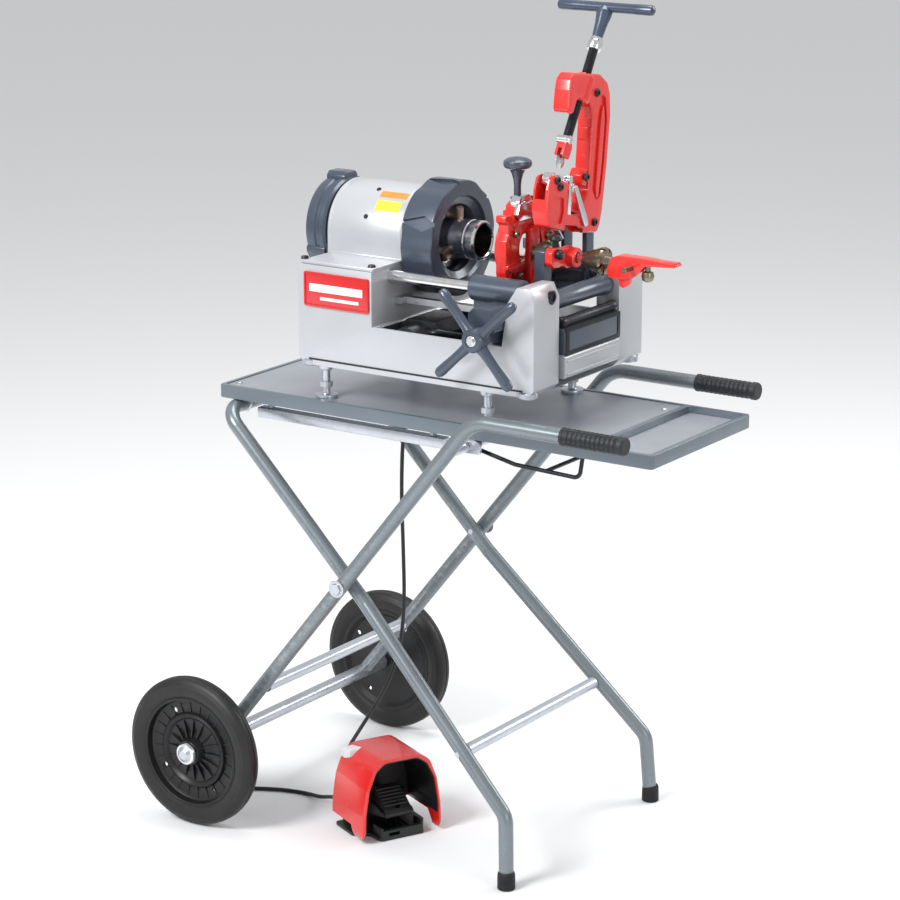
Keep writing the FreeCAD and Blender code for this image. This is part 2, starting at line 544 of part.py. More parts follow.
def make_tools():
    # die head: ring round the spindle line, an arm back to its hinge pin, posts and cam lever
    face = rod("die_disc", "die_radius", "die_width", "die_left", 0, "spindle_z", "X")
    arm = block("die_arm", "die_width", "die_hinge_y", 40, "die_left + 0.5*die_width", "0.5*die_hinge_y",
                "die_hinge_z - 20")
    eye = rod("die_eye", 18, "die_width", "die_left", "die_hinge_y", "die_hinge_z", "X")
    cap = block("die_cap", "die_width", 50, 46, "die_left + 0.5*die_width", -20,
                "spindle_z + die_radius - 24")
    bore = rod("die_hole", "die_bore", 60, "die_left - 5", 0, "spindle_z", "X")
    slots = [block("die_slot_1", 16, "2*die_radius + 10", 20.4, "die_left + 12", 0, "spindle_z - 10.2"),
             block("die_slot_2", 16, 20.4, "2*die_radius - 20", "die_left + 12", 0,
                   "spindle_z - die_radius + 10")]
    pin = rod("die_pin", "pin_radius", "die_width + 18", "die_left - 9", "die_hinge_y", "die_hinge_z", "X")
    stem_hole = rod("die_stem_hole", 6.05, 40, "die_left + 18", -20, "spindle_z + die_radius - 10")
    fuse("die_head", cut("die_bored", fuse("die_solid", face, arm, eye, cap), bore, *slots, stem_hole), pin)
    chasers = []
    for number in range(4):
        chaser = doc.addObject("Part::Box", f"chaser_{number}")
        bind(chaser, Length=15, Width=20, Height=38)
        chaser.Placement = FreeCAD.Placement(
            V(size("die_left") + 4.5, 0, size("spindle_z")), FreeCAD.Rotation(V(1, 0, 0), 90 * number)
        ) * FreeCAD.Placement(V(0, -10, 21), FreeCAD.Rotation())
        chasers.append(chaser)
    group("thread_dies", *chasers)
    stem = rod("lever_stem", 6, 86, "die_left + 18", -20, "spindle_z + die_radius - 8")
    knob_outline = [("0", "0"), ("10", "0"), ("14", "6"), ("27", "14"),
                    ("27", "20"), ("14", "27"), ("0", "28")]
    knob = turned("lever_knob", knob_outline, "die_left + 18", -20, "spindle_z + die_radius + 70", "Z")
    fuse("die_lever", stem, knob)
    # reamer: swing arm on the carriage, sliding bar with fluted cone and lever
    swing_eye = rod("reamer_eye", 18, 18, "carriage_right + 2", -52, "reamer_z + 6", "X")
    swing_arm = block("reamer_link", 18, 64, 26, "carriage_right + 11", "reamer_y - 18", "reamer_z - 9")
    guide = rod("reamer_guide", 19, 34, "carriage_right + 2", "reamer_y", "reamer_z", "X")
    swing_pin = rod("reamer_pin", "pin_radius", 40, "carriage_right - 22", -52, "reamer_z + 6", "X")
    hole = rod("reamer_guide_hole", "reamer_bar + running_gap", 60, "carriage_right - 4", "reamer_y",
               "reamer_z", "X")
    fuse("reamer_arm", cut("reamer_swing", fuse("reamer_solid", swing_eye, swing_arm, guide), hole), swing_pin)
    rod("reamer_shaft", "reamer_bar", "reamer_right - carriage_right - 34", "carriage_right - 20",
        "reamer_y", "reamer_z", "X").Label = "reamer_bar"
    turned("reamer_cone", [("0", "0"), ("10", "0"), ("30", "38"), ("30", "44"), ("14", "44"), ("0", "44")],
           "carriage_right - 64", "reamer_y", "reamer_z", "X")


def make_cutter():
    lean = FreeCAD.Rotation(V(1, 0, 0), -8)
    base = spot("cutter_left + 0.5*cutter_width", "cutter_y", "cutter_z")
    # local frame: hinge at the origin, +Z up the spine, the jaw opens towards -Y
    frame_points = [("14", "-20"), ("26", "20"), ("26", "200"), ("14", "250"), ("-20", "274"),
                    ("-112", "274"), ("-126", "242"), ("-126", "202"), ("-106", "198"), ("-94", "226"),
                    ("-46", "222"), ("-34", "196"), ("-30", "60"), ("-44", "34"), ("-88", "30"),
                    ("-98", "72"), ("-152", "88"), ("-166", "84"), ("-172", "20"), ("-160", "-8"), ("-60", "-20")]
    frame = plate("cutter_plate", "YZ_Plane", frame_points, "cutter_width - 6")
    pin = rod("cutter_pin", "pin_radius", 34, -26, 0, 0, "X")
    eye_room = block("cutter_eye_room", 10.6, 104, 46, 4, 0, -30)
    roller_slot = block("roller_slot", 22, 90, 60, 0, -134, 42)
    # feed frame: cutter wheel at the origin, +Z up the screw
    feed_turn = FreeCAD.Rotation(V(1, 0, 0), -size("feed_tilt"))
    feed = FreeCAD.Placement(spot(0, "wheel_across", "wheel_up"), feed_turn)
    boss = rod("cutter_boss", 20, 48, 0, 0, 122)
    screw_way = rod("cutter_way", "screw_radius + running_gap", 100, 0, 0, 100)
    for part in (boss, screw_way):
        part.Placement = feed.multiply(part.Placement)
    body = cut("cutter_body", fuse("cutter_solid", frame, boss), screw_way, roller_slot, eye_room)
    whole = fuse("cutter_frame", body, pin)
    roller_outline = [("0", "-10.4"), ("5", "-10.4"), ("5", "-9"), ("14", "-9"),
                      ("14", "9"), ("5", "9"), ("5", "10.4"), ("0", "10.4")]
    rollers = []
    for number, sign in enumerate((1, -1)):
        rollers.append(turned(f"cutter_roller_{number + 1}", roller_outline, 0, f"{sign}*roller_spread",
                              "-roller_drop", "X"))
    slide = block("cutter_slide_body", 20, 26, 30, 0, 0, 8)
    fork = block("cutter_fork_gap", 8, 40, 16, 0, 0, 6)
    saddle = cut("cutter_slide", slide, fork)
    wheel_outline = [("0", "-3.6"), ("6", "-3.6"), ("15", "-0.6"), ("15", "0.6"), ("6", "3.6"), ("0", "3.6")]
    wheel = turned("cutter_wheel", wheel_outline, 0, 0, 0, "X")
    screw = rod("screw_rod", "screw_radius", 264, 0, 0, 40)
    bar = rod("screw_bar", "handle_bar", "handle_bar_length", "-0.5*handle_bar_length", 0, "handle_reach",
              "X")
    collar = rod("screw_collar", 14, 18, 0, 0, 224)
    hub = rod("screw_hub", 14, 30, 0, 0, "handle_reach - 26")
    handle = fuse("cutter_screw", screw, bar, collar, hub)
    for part in (*rollers, saddle, wheel, handle):
        part.Placement = feed.multiply(part.Placement)
    for part in (whole, *rollers, saddle, wheel, handle):
        part.Placement = FreeCAD.Placement(base, lean).multiply(part.Placement)


# ---------------------------------------------------------------- foot switch
def make_foot_switch():
    place = FreeCAD.Placement(spot("switch_x", "switch_y", 0),
                              FreeCAD.Rotation(V(0, 0, 1), size("switch_turn")))
    outside = [("-hood_depth", "0"), ("-hood_depth", "74"), ("-66", "hood_height"), ("-18", "hood_height"),
               ("0", "hood_height - 20"), ("0", "0")]
    inside = [("-hood_depth + hood_wall", "-1"), ("-hood_depth + hood_wall", "70"),
              ("-63", "hood_height - hood_wall"),
              ("20", "hood_height - hood_wall"), ("20", "-1")]
    shell = plate("hood_outside", "XZ_Plane", outside, "2*hood_half")
    room = plate("hood_inside", "XZ_Plane", inside, "2*hood_half - 2*hood_wall")
    window = block("hood_window", 64, 240, 76, -62, 0, -1)
    holes = [rod(f"hood_hole_{side}", 8, 30, "-hood_depth - 10", f"{sign * 46}", 34, "X") for side,
             sign in SIDES]
    hood = cut("pedal_guard", shell, room, window, *holes)
    floor_plate = block("switch_plate", "hood_depth - hood_wall - 10", 150, 8, "-0.5*hood_depth - 1", 0, 0)
    lugs = [block(f"switch_lug_{side}", 22, 6, 40, -100, f"{sign}*pedal_half + {sign * 6}", 4)
            for side, sign in SIDES]
    hole = rod("switch_pin_hole", 5.05, 120, -100, -60, 32, "Y")
    foot = cut("pedal_base", fuse("switch_body", floor_plate, *lugs), hole)
    tread = plate("pedal_tread", "XZ_Plane", [("-108", "24"), ("-96", "44"), ("-30", "62"), ("-14", "56"),
                                              ("-14", "50"), ("-30", "52"), ("-90", "28"), ("-96", "22")],
                                              "2*pedal_half")
    pin = rod("pedal_pin", 5, 88, -100, -44, 32, "Y")
    pedal = fuse("foot_pedal", tread, pin)
    gland_outline = [("0", "-4"), ("8", "-4"), ("8", "6"), ("12", "6"), ("12", "14"), ("7", "40"), ("0", "40")]
    pieces = []
    for side, sign in SIDES:
        collar = turned(f"switch_gland_{side}", gland_outline, "-hood_depth", f"{sign * 46}", 34, (-1, 0, 0))
        collar.Placement = place.multiply(collar.Placement)
        pieces.append(collar)
    outlet = turned("machine_gland", [("0", "0"), ("13", "0"), ("13", "8"), ("7", "34"), ("0", "34")],
                    -206, "base_half", 962, "Y")
    group("cord_glands", *pieces, outlet)
    for part in (hood, foot, pedal):
        part.Placement = place.multiply(part.Placement)
    return place


def make_cords(place):
    """Routes on the floor keep the cord's underside on the ground."""
    low = size("cord_radius")
    down = [V(-206, 226, 962), V(-206, 262, 955), V(-208, 282, 915), V(-214, 262, 868), V(-222, 214, 838),
            V(-231, 186, 795), V(-240, 178, 738), V(-246, 177, 676), V(-249, 178, 614), V(-250, 179, 552),
            V(-249, 181, 490), V(-248, 182, 430), V(-248, 184, 370), V(-251, 186, 312), V(-260, 188, 254),
            V(-276, 190, 198), V(-300, 188, 142), V(-330, 186, 92), V(-352, 170, 48), V(-358, 136, 16),
            V(-342, 100, low), V(-318, 64, low), V(-288, 32, low), V(-256, 2, low), V(-218, -22, low + 2)]
    inlet = place.multVec(V(-size("hood_depth") - 40, 46, 34))
    ahead = place.multVec(V(-size("hood_depth") - 76, 46, 30))
    cord("machine_cord", down + [ahead, inlet])
    outlet = place.multVec(V(-size("hood_depth") - 40, -46, 34))
    first = place.multVec(V(-size("hood_depth") - 72, -46, 26))
    floor_run = [V(-254, -106, 8), V(-294, -96, low), V(-336, -104, low), V(-374, -120, low),
                 V(-410, -140, low)]
    cord("mains_cord", [outlet, first] + floor_run + [V(size("coil_x") + 43, size("coil_y") - 28, low)])
    sleeve("mains_coil", "coil_outer", "coil_inner", "coil_height", "coil_x", "coil_y", 0)
    body = block("plug_body", "plug_length", "plug_width", "plug_height", "coil_x - 4", "coil_y - 22",
                 "coil_height")
    pins = [rod(f"plug_pin_{side}", 2.4, 19, "coil_x - 4 - 0.5*plug_length", f"coil_y - 22 + {sign * 9.5}",
                "coil_height + 13", (-1, 0, 0)) for side, sign in SIDES]
    fuse("mains_plug", body, *pins)


make_table()
make_frames()
make_wheels()
make_base()
make_headstock()
make_chuck()
make_carriage()
make_tools()
make_cutter()
switch_place = make_foot_switch()
make_cords(switch_place)
doc.recompute()

NODES = """table_top support_rails leg_near leg_far leg_crossbars foot_caps handle_tube_near handle_tube_far
handle_crossbars handle_grips lock_bail wheel_axle wheel_near wheel_far tyre_near tyre_far machine_base
levelling_feet guide_rods carriage_rack front_plaque oil_pump chip_tray headstock_housing spindle_bearings
spindle_tube drive_gear motor_pinion motor chuck_body chuck_jaw_1 chuck_jaw_2 chuck_jaw_3 chuck_ring rear_ring
rear_jaws carriage handwheel handwheel_shaft die_head thread_dies die_lever reamer_arm reamer_bar reamer_cone
cutter_frame cutter_roller_1 cutter_roller_2 cutter_slide cutter_wheel cutter_screw pedal_guard pedal_base
foot_pedal cord_glands machine_cord mains_cord mains_coil mains_plug""".split()

for item in doc.Objects:
    if "Invalid" in item.State or "Error" in item.State:
        raise RuntimeError(f"{item.Name} failed: {item.State}")
box = FreeCAD.BoundBox()
for node in NODES:
    part = doc.getObject(node) or doc.getObjectsByLabel(node)[0]
    part.Label = node
    if part.Shape.isNull() or not part.Shape.isValid():
        raise RuntimeError(f"{node} has no valid shape")
    box.add(part.Shape.BoundBox)
    part.Shape.exportStep(f"parts/{node}.step")
print(len(NODES), "nodes, box", box)
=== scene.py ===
import bpy
import bmesh
import math
from mathutils import Matrix, Vector


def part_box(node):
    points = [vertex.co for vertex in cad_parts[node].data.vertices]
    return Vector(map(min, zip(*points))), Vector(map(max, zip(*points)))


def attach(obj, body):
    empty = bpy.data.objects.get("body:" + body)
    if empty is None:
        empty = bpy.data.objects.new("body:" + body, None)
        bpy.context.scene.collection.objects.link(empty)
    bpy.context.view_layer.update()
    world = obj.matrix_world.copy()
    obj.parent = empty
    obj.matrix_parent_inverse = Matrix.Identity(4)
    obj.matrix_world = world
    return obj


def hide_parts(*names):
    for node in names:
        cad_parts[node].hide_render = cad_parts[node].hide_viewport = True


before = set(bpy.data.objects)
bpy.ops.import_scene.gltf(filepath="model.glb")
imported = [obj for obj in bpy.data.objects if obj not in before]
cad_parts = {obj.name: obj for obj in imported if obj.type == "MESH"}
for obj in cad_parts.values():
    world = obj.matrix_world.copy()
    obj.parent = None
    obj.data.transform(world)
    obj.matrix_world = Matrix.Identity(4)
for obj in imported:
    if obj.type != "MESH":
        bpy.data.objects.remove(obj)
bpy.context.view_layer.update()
MM = 0.001
X, Y, Z = Vector((1, 0, 0)), Vector((0, 1, 0)), Vector((0, 0, 1))
SIDES = (("near", -1), ("far", 1))


# ---------------------------------------------------------------- camera and light
def make_camera():
    """Camera that shows the machine three-quarter on, from a little above."""
    lens = bpy.data.cameras.new("workshop_camera")
    lens.lens, lens.sensor_width = 118.4, 36.0
    camera = bpy.data.objects.new("workshop_camera", lens)
    bpy.context.scene.collection.objects.link(camera)
    camera.location = (3.0575, -4.567, 2.215)
    camera.rotation_euler = (math.radians(75.0), 0, math.radians(33.9))
    lens.clip_end = 60
    bpy.context.scene.camera = camera


def soft_light(name, place, target, width, power):
    """One wide area light aimed at a point."""
    lamp = bpy.data.lights.new(name, "AREA")
    lamp.shape, lamp.size, lamp.energy = "DISK", width, power
    holder = bpy.data.objects.new(name, lamp)
    bpy.context.scene.collection.objects.link(holder)
    holder.location = place
    holder.rotation_euler = (Vector(target) - Vector(place)).to_track_quat("-Z", "Y").to_euler()


def make_studio():
    """White floor, white surroundings and the soft lights."""
    soft_light("key_light", (-0.9, -3.6, 3.4), (0, 0, 0.8), 1.6, 175)
    soft_light("fill_light", (4.2, -1.6, 1.8), (0, 0, 0.8), 2.0, 26)
    soft_light("top_light", (0.2, 0.6, 4.2), (0, 0, 0.5), 2.2, 80)
    soft_light("rim_light", (2.4, 3.4, 2.6), (0, 0, 1.0), 1.6, 50)
    bpy.context.scene.view_settings.view_transform = "Standard"
    world = bpy.data.worlds.new("studio_world")
    world.use_nodes = True
    back = world.node_tree.nodes["Background"]
    back.inputs["Color"].default_value = (1.0, 1.0, 1.0, 1)
    back.inputs["Strength"].default_value = 0.64
    bpy.context.scene.world = world
    paper = bpy.data.materials.new("studio_paper")
    paper.use_nodes = True
    shader = paper.node_tree.nodes["Principled BSDF"]
    shader.inputs["Base Color"].default_value = (0.86, 0.87, 0.88, 1)
    shader.inputs["Roughness"].default_value = 0.75
    mesh = bpy.data.meshes.new("studio_floor")
    mesh.from_pydata([(-30, -30, 0), (30, -30, 0), (30, 30, 0), (-30, 30, 0)], [], [(0, 1, 2, 3)])
    floor = bpy.data.objects.new("studio_floor", mesh)
    floor.data.materials.append(paper)
    bpy.context.scene.collection.objects.link(floor)


# ---------------------------------------------------------------- shader groups and finishes
def new_group(name, inputs, outputs):
    """Empty shader group with float sockets."""
    tree = bpy.data.node_groups.new(name, "ShaderNodeTree")
    for label, value in inputs:
        socket = tree.interface.new_socket(label, in_out="INPUT", socket_type="NodeSocketFloat")
        socket.default_value = value
    for label in outputs:
        tree.interface.new_socket(label, in_out="OUTPUT", socket_type="NodeSocketFloat")
    return tree, tree.nodes.new("NodeGroupInput"), tree.nodes.new("NodeGroupOutput")


def sum_node(tree, operation, first, second, clamp=False):
    """Output of a maths node on two values, each a number or a socket."""
    node = tree.nodes.new("ShaderNodeMath")
    node.operation, node.use_clamp = operation, clamp
    for socket, value in zip(node.inputs, (first, second)):
        if isinstance(value, (int, float)):
            socket.default_value = value
        else:
            tree.links.new(value, socket)
    return node.outputs[0]


def noise(tree, scale, detail, source):
    """Output of a noise texture of the given scale and detail, laid out by a source."""
    node = tree.nodes.new("ShaderNodeTexNoise")
    node.inputs["Detail"].default_value = detail
    if isinstance(scale, (int, float)):
        node.inputs["Scale"].default_value = scale
    else:
        tree.links.new(scale, node.inputs["Scale"])
    tree.links.new(source, node.inputs["Vector"])
    return node.outputs["Fac"]


def object_place(tree):
    """Place on the object, in metres, that the textures follow."""
    return tree.nodes.new("ShaderNodeTexCoord").outputs["Object"]


def build_mottle():
    """Slow uneven tone, as in sprayed enamel and handled steel."""
    tree, inside, out = new_group("sprayed_mottle", [("Scale", 12.0), ("Contrast", 1.0)], ["Mask"])
    broad = noise(tree, inside.outputs["Scale"], 4.0, object_place(tree))
    centred = sum_node(tree, "SUBTRACT", broad, 0.5)
    spread = sum_node(tree, "MULTIPLY", centred, inside.outputs["Contrast"])
    tree.links.new(sum_node(tree, "ADD", spread, 0.5, True), out.inputs["Mask"])
    return tree


def build_edge_wear():
    """Mask of rubbed edges: convex corners broken up by noise."""
    tree, inside, out = new_group("rubbed_edges", [("Amount", 0.5), ("Scale", 60.0)], ["Mask"])
    pointy = tree.nodes.new("ShaderNodeNewGeometry").outputs["Pointiness"]
    edge = sum_node(tree, "MULTIPLY", sum_node(tree, "SUBTRACT", pointy, 0.56), 12.0, True)
    broken = noise(tree, inside.outputs["Scale"], 6.0, object_place(tree))
    chips = sum_node(tree, "MULTIPLY", sum_node(tree, "SUBTRACT", broken, 0.45), 6.0, True)
    worn = sum_node(tree, "MULTIPLY", edge, chips)
    tree.links.new(sum_node(tree, "MULTIPLY", worn, inside.outputs["Amount"], True), out.inputs["Mask"])
    return tree


def build_grain():
    """Fine surface relief: cast skin, orange peel or moulded texture."""
    tree, inside, out = new_group("surface_grain", [("Scale", 400.0), ("Pits", 0.3)], ["Height"])
    place = object_place(tree)
    fine = noise(tree, inside.outputs["Scale"], 3.0, place)
    cells = tree.nodes.new("ShaderNodeTexVoronoi")
    tree.links.new(inside.outputs["Scale"], cells.inputs["Scale"])
    tree.links.new(place, cells.inputs["Vector"])
    pits = sum_node(tree, "MULTIPLY", cells.outputs["Distance"], inside.outputs["Pits"])
    tree.links.new(sum_node(tree, "ADD", fine, pits), out.inputs["Height"])
    return tree


def build_settled_dust():
    """Mask of light dust on faces that look upward."""
    tree, inside, out = new_group("settled_dust", [("Amount", 0.2), ("Scale", 25.0)], ["Mask"])
    split = tree.nodes.new("ShaderNodeSeparateXYZ")
    tree.links.new(tree.nodes.new("ShaderNodeNewGeometry").outputs["Normal"], split.inputs[0])
    upward = sum_node(tree, "MULTIPLY", split.outputs["Z"], inside.outputs["Amount"], True)
    patch = noise(tree, inside.outputs["Scale"], 5.0, object_place(tree))
    tree.links.new(sum_node(tree, "MULTIPLY", upward, patch, True), out.inputs["Mask"])
    return tree


def build_brushing():
    """Long fine scratches along X, for turned and ground steel."""
    tree, inside, out = new_group("brushed_lines", [("Scale", 900.0), ("Stretch", 0.04)], ["Height"])
    squeeze = tree.nodes.new("ShaderNodeVectorMath")
    squeeze.operation = "MULTIPLY"
    tree.links.new(object_place(tree), squeeze.inputs[0])
    joined = tree.nodes.new("ShaderNodeCombineXYZ")
    tree.links.new(inside.outputs["Stretch"], joined.inputs["X"])
    joined.inputs["Y"].default_value = joined.inputs["Z"].default_value = 1.0
    tree.links.new(joined.outputs[0], squeeze.inputs[1])
    lines = noise(tree, inside.outputs["Scale"], 2.0, squeeze.outputs[0])
    tree.links.new(lines, out.inputs["Height"])
    return tree


GROUPS = {
    "mottle": build_mottle(), "wear": build_edge_wear(), "grain": build_grain(),
    "dust": build_settled_dust(), "brush": build_brushing(),
}


def use_group(tree, key, **values):
    """Puts a shared node group into a material."""
    node = tree.nodes.new("ShaderNodeGroup")
    node.node_tree = GROUPS[key]
    for label, value in values.items():
        node.inputs[label.capitalize()].default_value = value
    return node.outputs[0]


def blend_colours(tree, mask, first, second):
    """Mixes two colours by a mask."""
    node = tree.nodes.new("ShaderNodeMix")
    node.data_type = "RGBA"
    tree.links.new(mask, node.inputs["Factor"])
    for socket, value in ((node.inputs[6], first), (node.inputs[7], second)):
        if isinstance(value, tuple):
            socket.default_value = (*value, 1)
        else:
            tree.links.new(value, socket)
    return node.outputs[2]


def finish(name, colour, second, metallic, rough, mottle=14.0, contrast=1.4, grain=500.0, depth=0.08,
           pits=0.3, wear=0.0, bare=(0.45, 0.45, 0.46), dust=0.0, coat=0.0, brushed=False, specular=0.5):
    """Material whose tone, gloss, wear and relief all vary over the surface."""
    material = bpy.data.materials.new(name)
    material.use_nodes = True
    tree = material.node_tree
    shader = tree.nodes["Principled BSDF"]
    shader.inputs["Metallic"].default_value = metallic
    shader.inputs["Specular IOR Level"].default_value = specular
    shader.inputs["Coat Weight"].default_value = coat
    shader.inputs["Coat Roughness"].default_value = 0.12
    tone = use_group(tree, "mottle", scale=mottle, contrast=contrast)
    shade = blend_colours(tree, tone, colour, second)
    if wear:
        mask = use_group(tree, "wear", amount=wear, scale=90.0)
        shade = blend_colours(tree, mask, shade, bare)
    if dust:
        shade = blend_colours(tree, use_group(tree, "dust", amount=dust), shade, (0.55, 0.54, 0.52))
    tree.links.new(shade, shader.inputs["Base Color"])
    smear = use_group(tree, "mottle", scale=mottle * 3.1, contrast=1.6)
    span = sum_node(tree, "MULTIPLY", smear, rough[1] - rough[0])
    tree.links.new(sum_node(tree, "ADD", span, rough[0]), shader.inputs["Roughness"])
    bump = tree.nodes.new("ShaderNodeBump")
    bump.inputs["Strength"].default_value = depth
    bump.inputs["Distance"].default_value = 0.0006
    if brushed:
        tree.links.new(use_group(tree, "brush", scale=grain), bump.inputs["Height"])
    else:
        tree.links.new(use_group(tree, "grain", scale=grain, pits=pits), bump.inputs["Height"])
    tree.links.new(bump.outputs["Normal"], shader.inputs["Normal"])
    return material


FINISHES = {
    "frame_paint": finish("frame_enamel", (0.165, 0.195, 0.215), (0.205, 0.235, 0.255), 0.5, (0.24, 0.36),
                          mottle=9, grain=900, depth=0.12, wear=0.35, coat=0.25, dust=0.06),
    "frame_zinc": finish("zinc_plate", (0.46, 0.49, 0.54), (0.58, 0.61, 0.66), 0.85, (0.22, 0.40),
                         mottle=30, grain=700, depth=0.10, wear=0.2, dust=0.05),
    "table_paint": finish("table_rim_enamel", (0.13, 0.160, 0.190), (0.165, 0.195, 0.225), 0.4, (0.30, 0.44),
                          mottle=7, grain=800, depth=0.15, wear=0.5, coat=0.15, dust=0.1),
    "table_plate": finish("table_top_enamel", (0.30, 0.325, 0.37), (0.37, 0.395, 0.44), 0.4, (0.30, 0.46),
                          mottle=5, contrast=1.8, grain=600, depth=0.12, wear=0.3, dust=0.15),
    "black_rubber": finish("foot_rubber", (0.005, 0.005, 0.006), (0.012, 0.012, 0.013), 0.0, (0.5, 0.7),
                           mottle=40, grain=900, depth=0.35, dust=0.03, specular=0.35),
    "grip_rubber": finish("grip_rubber", (0.008, 0.010, 0.012), (0.018, 0.022, 0.026), 0.0, (0.38, 0.55),
                          mottle=50, grain=1100, depth=0.4, dust=0.02, specular=0.4),
    "tyre_rubber": finish("tyre_rubber", (0.005, 0.005, 0.005), (0.012, 0.012, 0.012), 0.0, (0.36, 0.55),
                          mottle=18, grain=800, depth=0.3, wear=0.2, bare=(0.03, 0.03, 0.03), dust=0.025,
                          specular=0.4),
    "wheel_plastic": finish("wheel_moulding", (0.004, 0.004, 0.005), (0.009, 0.009, 0.010), 0.0, (0.32, 0.46),
                            mottle=22, grain=1200, depth=0.2, dust=0.01, specular=0.4),
    "cast_grey": finish("casting_enamel", (0.43, 0.445, 0.47), (0.50, 0.515, 0.54), 0.3, (0.26, 0.40),
                        mottle=6, contrast=1.5, grain=420, depth=0.22, pits=0.6, wear=0.15,
                        bare=(0.35, 0.36, 0.37), coat=0.3, dust=0.05),
    "plaque_red": finish("plaque_gloss", (0.50, 0.006, 0.010), (0.58, 0.012, 0.014), 0.0, (0.14, 0.26),
                         mottle=16, grain=700, depth=0.05, coat=0.5),
    "dark_casting": finish("dark_enamel", (0.045, 0.060, 0.088), (0.062, 0.080, 0.112), 0.3, (0.24, 0.40),
                           mottle=9, grain=520, depth=0.2, pits=0.5, wear=0.18, bare=(0.18, 0.20, 0.24),
                           coat=0.35),
    "tool_red": finish("tool_enamel", (0.62, 0.012, 0.010), (0.74, 0.026, 0.018), 0.0, (0.22, 0.36),
                       mottle=12, grain=480, depth=0.18, pits=0.5, wear=0.2, bare=(0.28, 0.06, 0.05),
                       coat=0.45),
    "hood_red": finish("hood_moulding", (0.60, 0.010, 0.010), (0.68, 0.018, 0.014), 0.0, (0.18, 0.30),
                       mottle=7, grain=900, depth=0.06, coat=0.6, wear=0.15, bare=(0.7, 0.12, 0.1)),
    "bright_steel": finish("polished_steel", (0.66, 0.67, 0.69), (0.78, 0.79, 0.80), 1.0, (0.08, 0.22),
                           mottle=35, grain=700, depth=0.05, brushed=True),
    "machined_steel": finish("machined_steel", (0.42, 0.43, 0.45), (0.58, 0.59, 0.61), 1.0, (0.22, 0.42),
                             mottle=28, grain=800, depth=0.16, brushed=True),
    "oiled_steel": finish("oiled_tool_steel", (0.16, 0.15, 0.10), (0.30, 0.28, 0.20), 0.9, (0.2, 0.38),
                          mottle=45, contrast=2.2, grain=700, depth=0.18, brushed=True),
    "black_steel": finish("blackened_steel", (0.010, 0.012, 0.015), (0.028, 0.032, 0.038), 0.6, (0.25, 0.42),
                          mottle=40, grain=900, depth=0.15, wear=0.4, bare=(0.3, 0.3, 0.32)),
    "brass_bush": finish("bearing_bronze", (0.50, 0.34, 0.13), (0.60, 0.42, 0.18), 1.0, (0.22, 0.40),
                         mottle=30, grain=600, depth=0.1, brushed=True),
    "cord_rubber": finish("cord_jacket", (0.005, 0.005, 0.006), (0.012, 0.012, 0.013), 0.0, (0.4, 0.55),
                          mottle=60, grain=1500, depth=0.2),
    "black_plastic": finish("black_moulding", (0.005, 0.006, 0.006), (0.013, 0.014, 0.015), 0.0, (0.34, 0.5),
                            mottle=35, grain=1300, depth=0.25),
    "cap_zinc": finish("hub_cap_zinc", (0.70, 0.72, 0.75), (0.82, 0.83, 0.85), 0.7, (0.22, 0.38),
                       mottle=40, grain=900, depth=0.12, wear=0.3),
    "rung_zinc": finish("rung_enamel", (0.50, 0.54, 0.60), (0.60, 0.64, 0.70), 0.6, (0.26, 0.4),
                        mottle=16, grain=800, depth=0.12, wear=0.25, dust=0.06),
    "jaw_steel": finish("hardened_jaw_steel", (0.20, 0.13, 0.11), (0.36, 0.27, 0.22), 0.85, (0.25, 0.42),
                        mottle=60, contrast=2.0, grain=700, depth=0.16, brushed=True),
    "handle_blue": finish("handle_enamel", (0.040, 0.058, 0.095), (0.055, 0.076, 0.120), 0.3, (0.22, 0.36),
                          mottle=14, grain=600, depth=0.14, wear=0.4, bare=(0.2, 0.23, 0.28), coat=0.35),
    "tray_slate": finish("tray_enamel", (0.060, 0.078, 0.105), (0.080, 0.100, 0.130), 0.3, (0.3, 0.45),
                         mottle=10, grain=500, depth=0.2, wear=0.2, coat=0.2),
    "strip_orange": finish("orange_strip", (0.80, 0.20, 0.03), (0.85, 0.27, 0.05), 0.0, (0.3, 0.45),
                           mottle=60, grain=900, depth=0.05),
    "strip_yellow": finish("yellow_strip", (0.82, 0.62, 0.03), (0.86, 0.70, 0.08), 0.0, (0.3, 0.45),
                           mottle=60, grain=900, depth=0.05),
    "label_white": finish("plate_white", (0.78, 0.76, 0.75), (0.86, 0.85, 0.84), 0.0, (0.3, 0.45),
                          mottle=30, grain=900, depth=0.05),
    "pale_cap": finish("pale_grey_moulding", (0.60, 0.61, 0.62), (0.70, 0.71, 0.72), 0.0, (0.3, 0.45),
                       mottle=20, grain=900, depth=0.1, dust=0.1),
}


# ---------------------------------------------------------------- mesh shapes, all in millimetres
def turn_to(axis):
    """Rotation that takes +Z to the given axis."""
    return Vector(axis).to_track_quat("Z", "Y").to_matrix().to_4x4()


def moved(shape, matrix):
    """The same shape, moved in place by a matrix."""
    bmesh.ops.transform(shape, matrix=matrix, verts=shape.verts)
    return shape


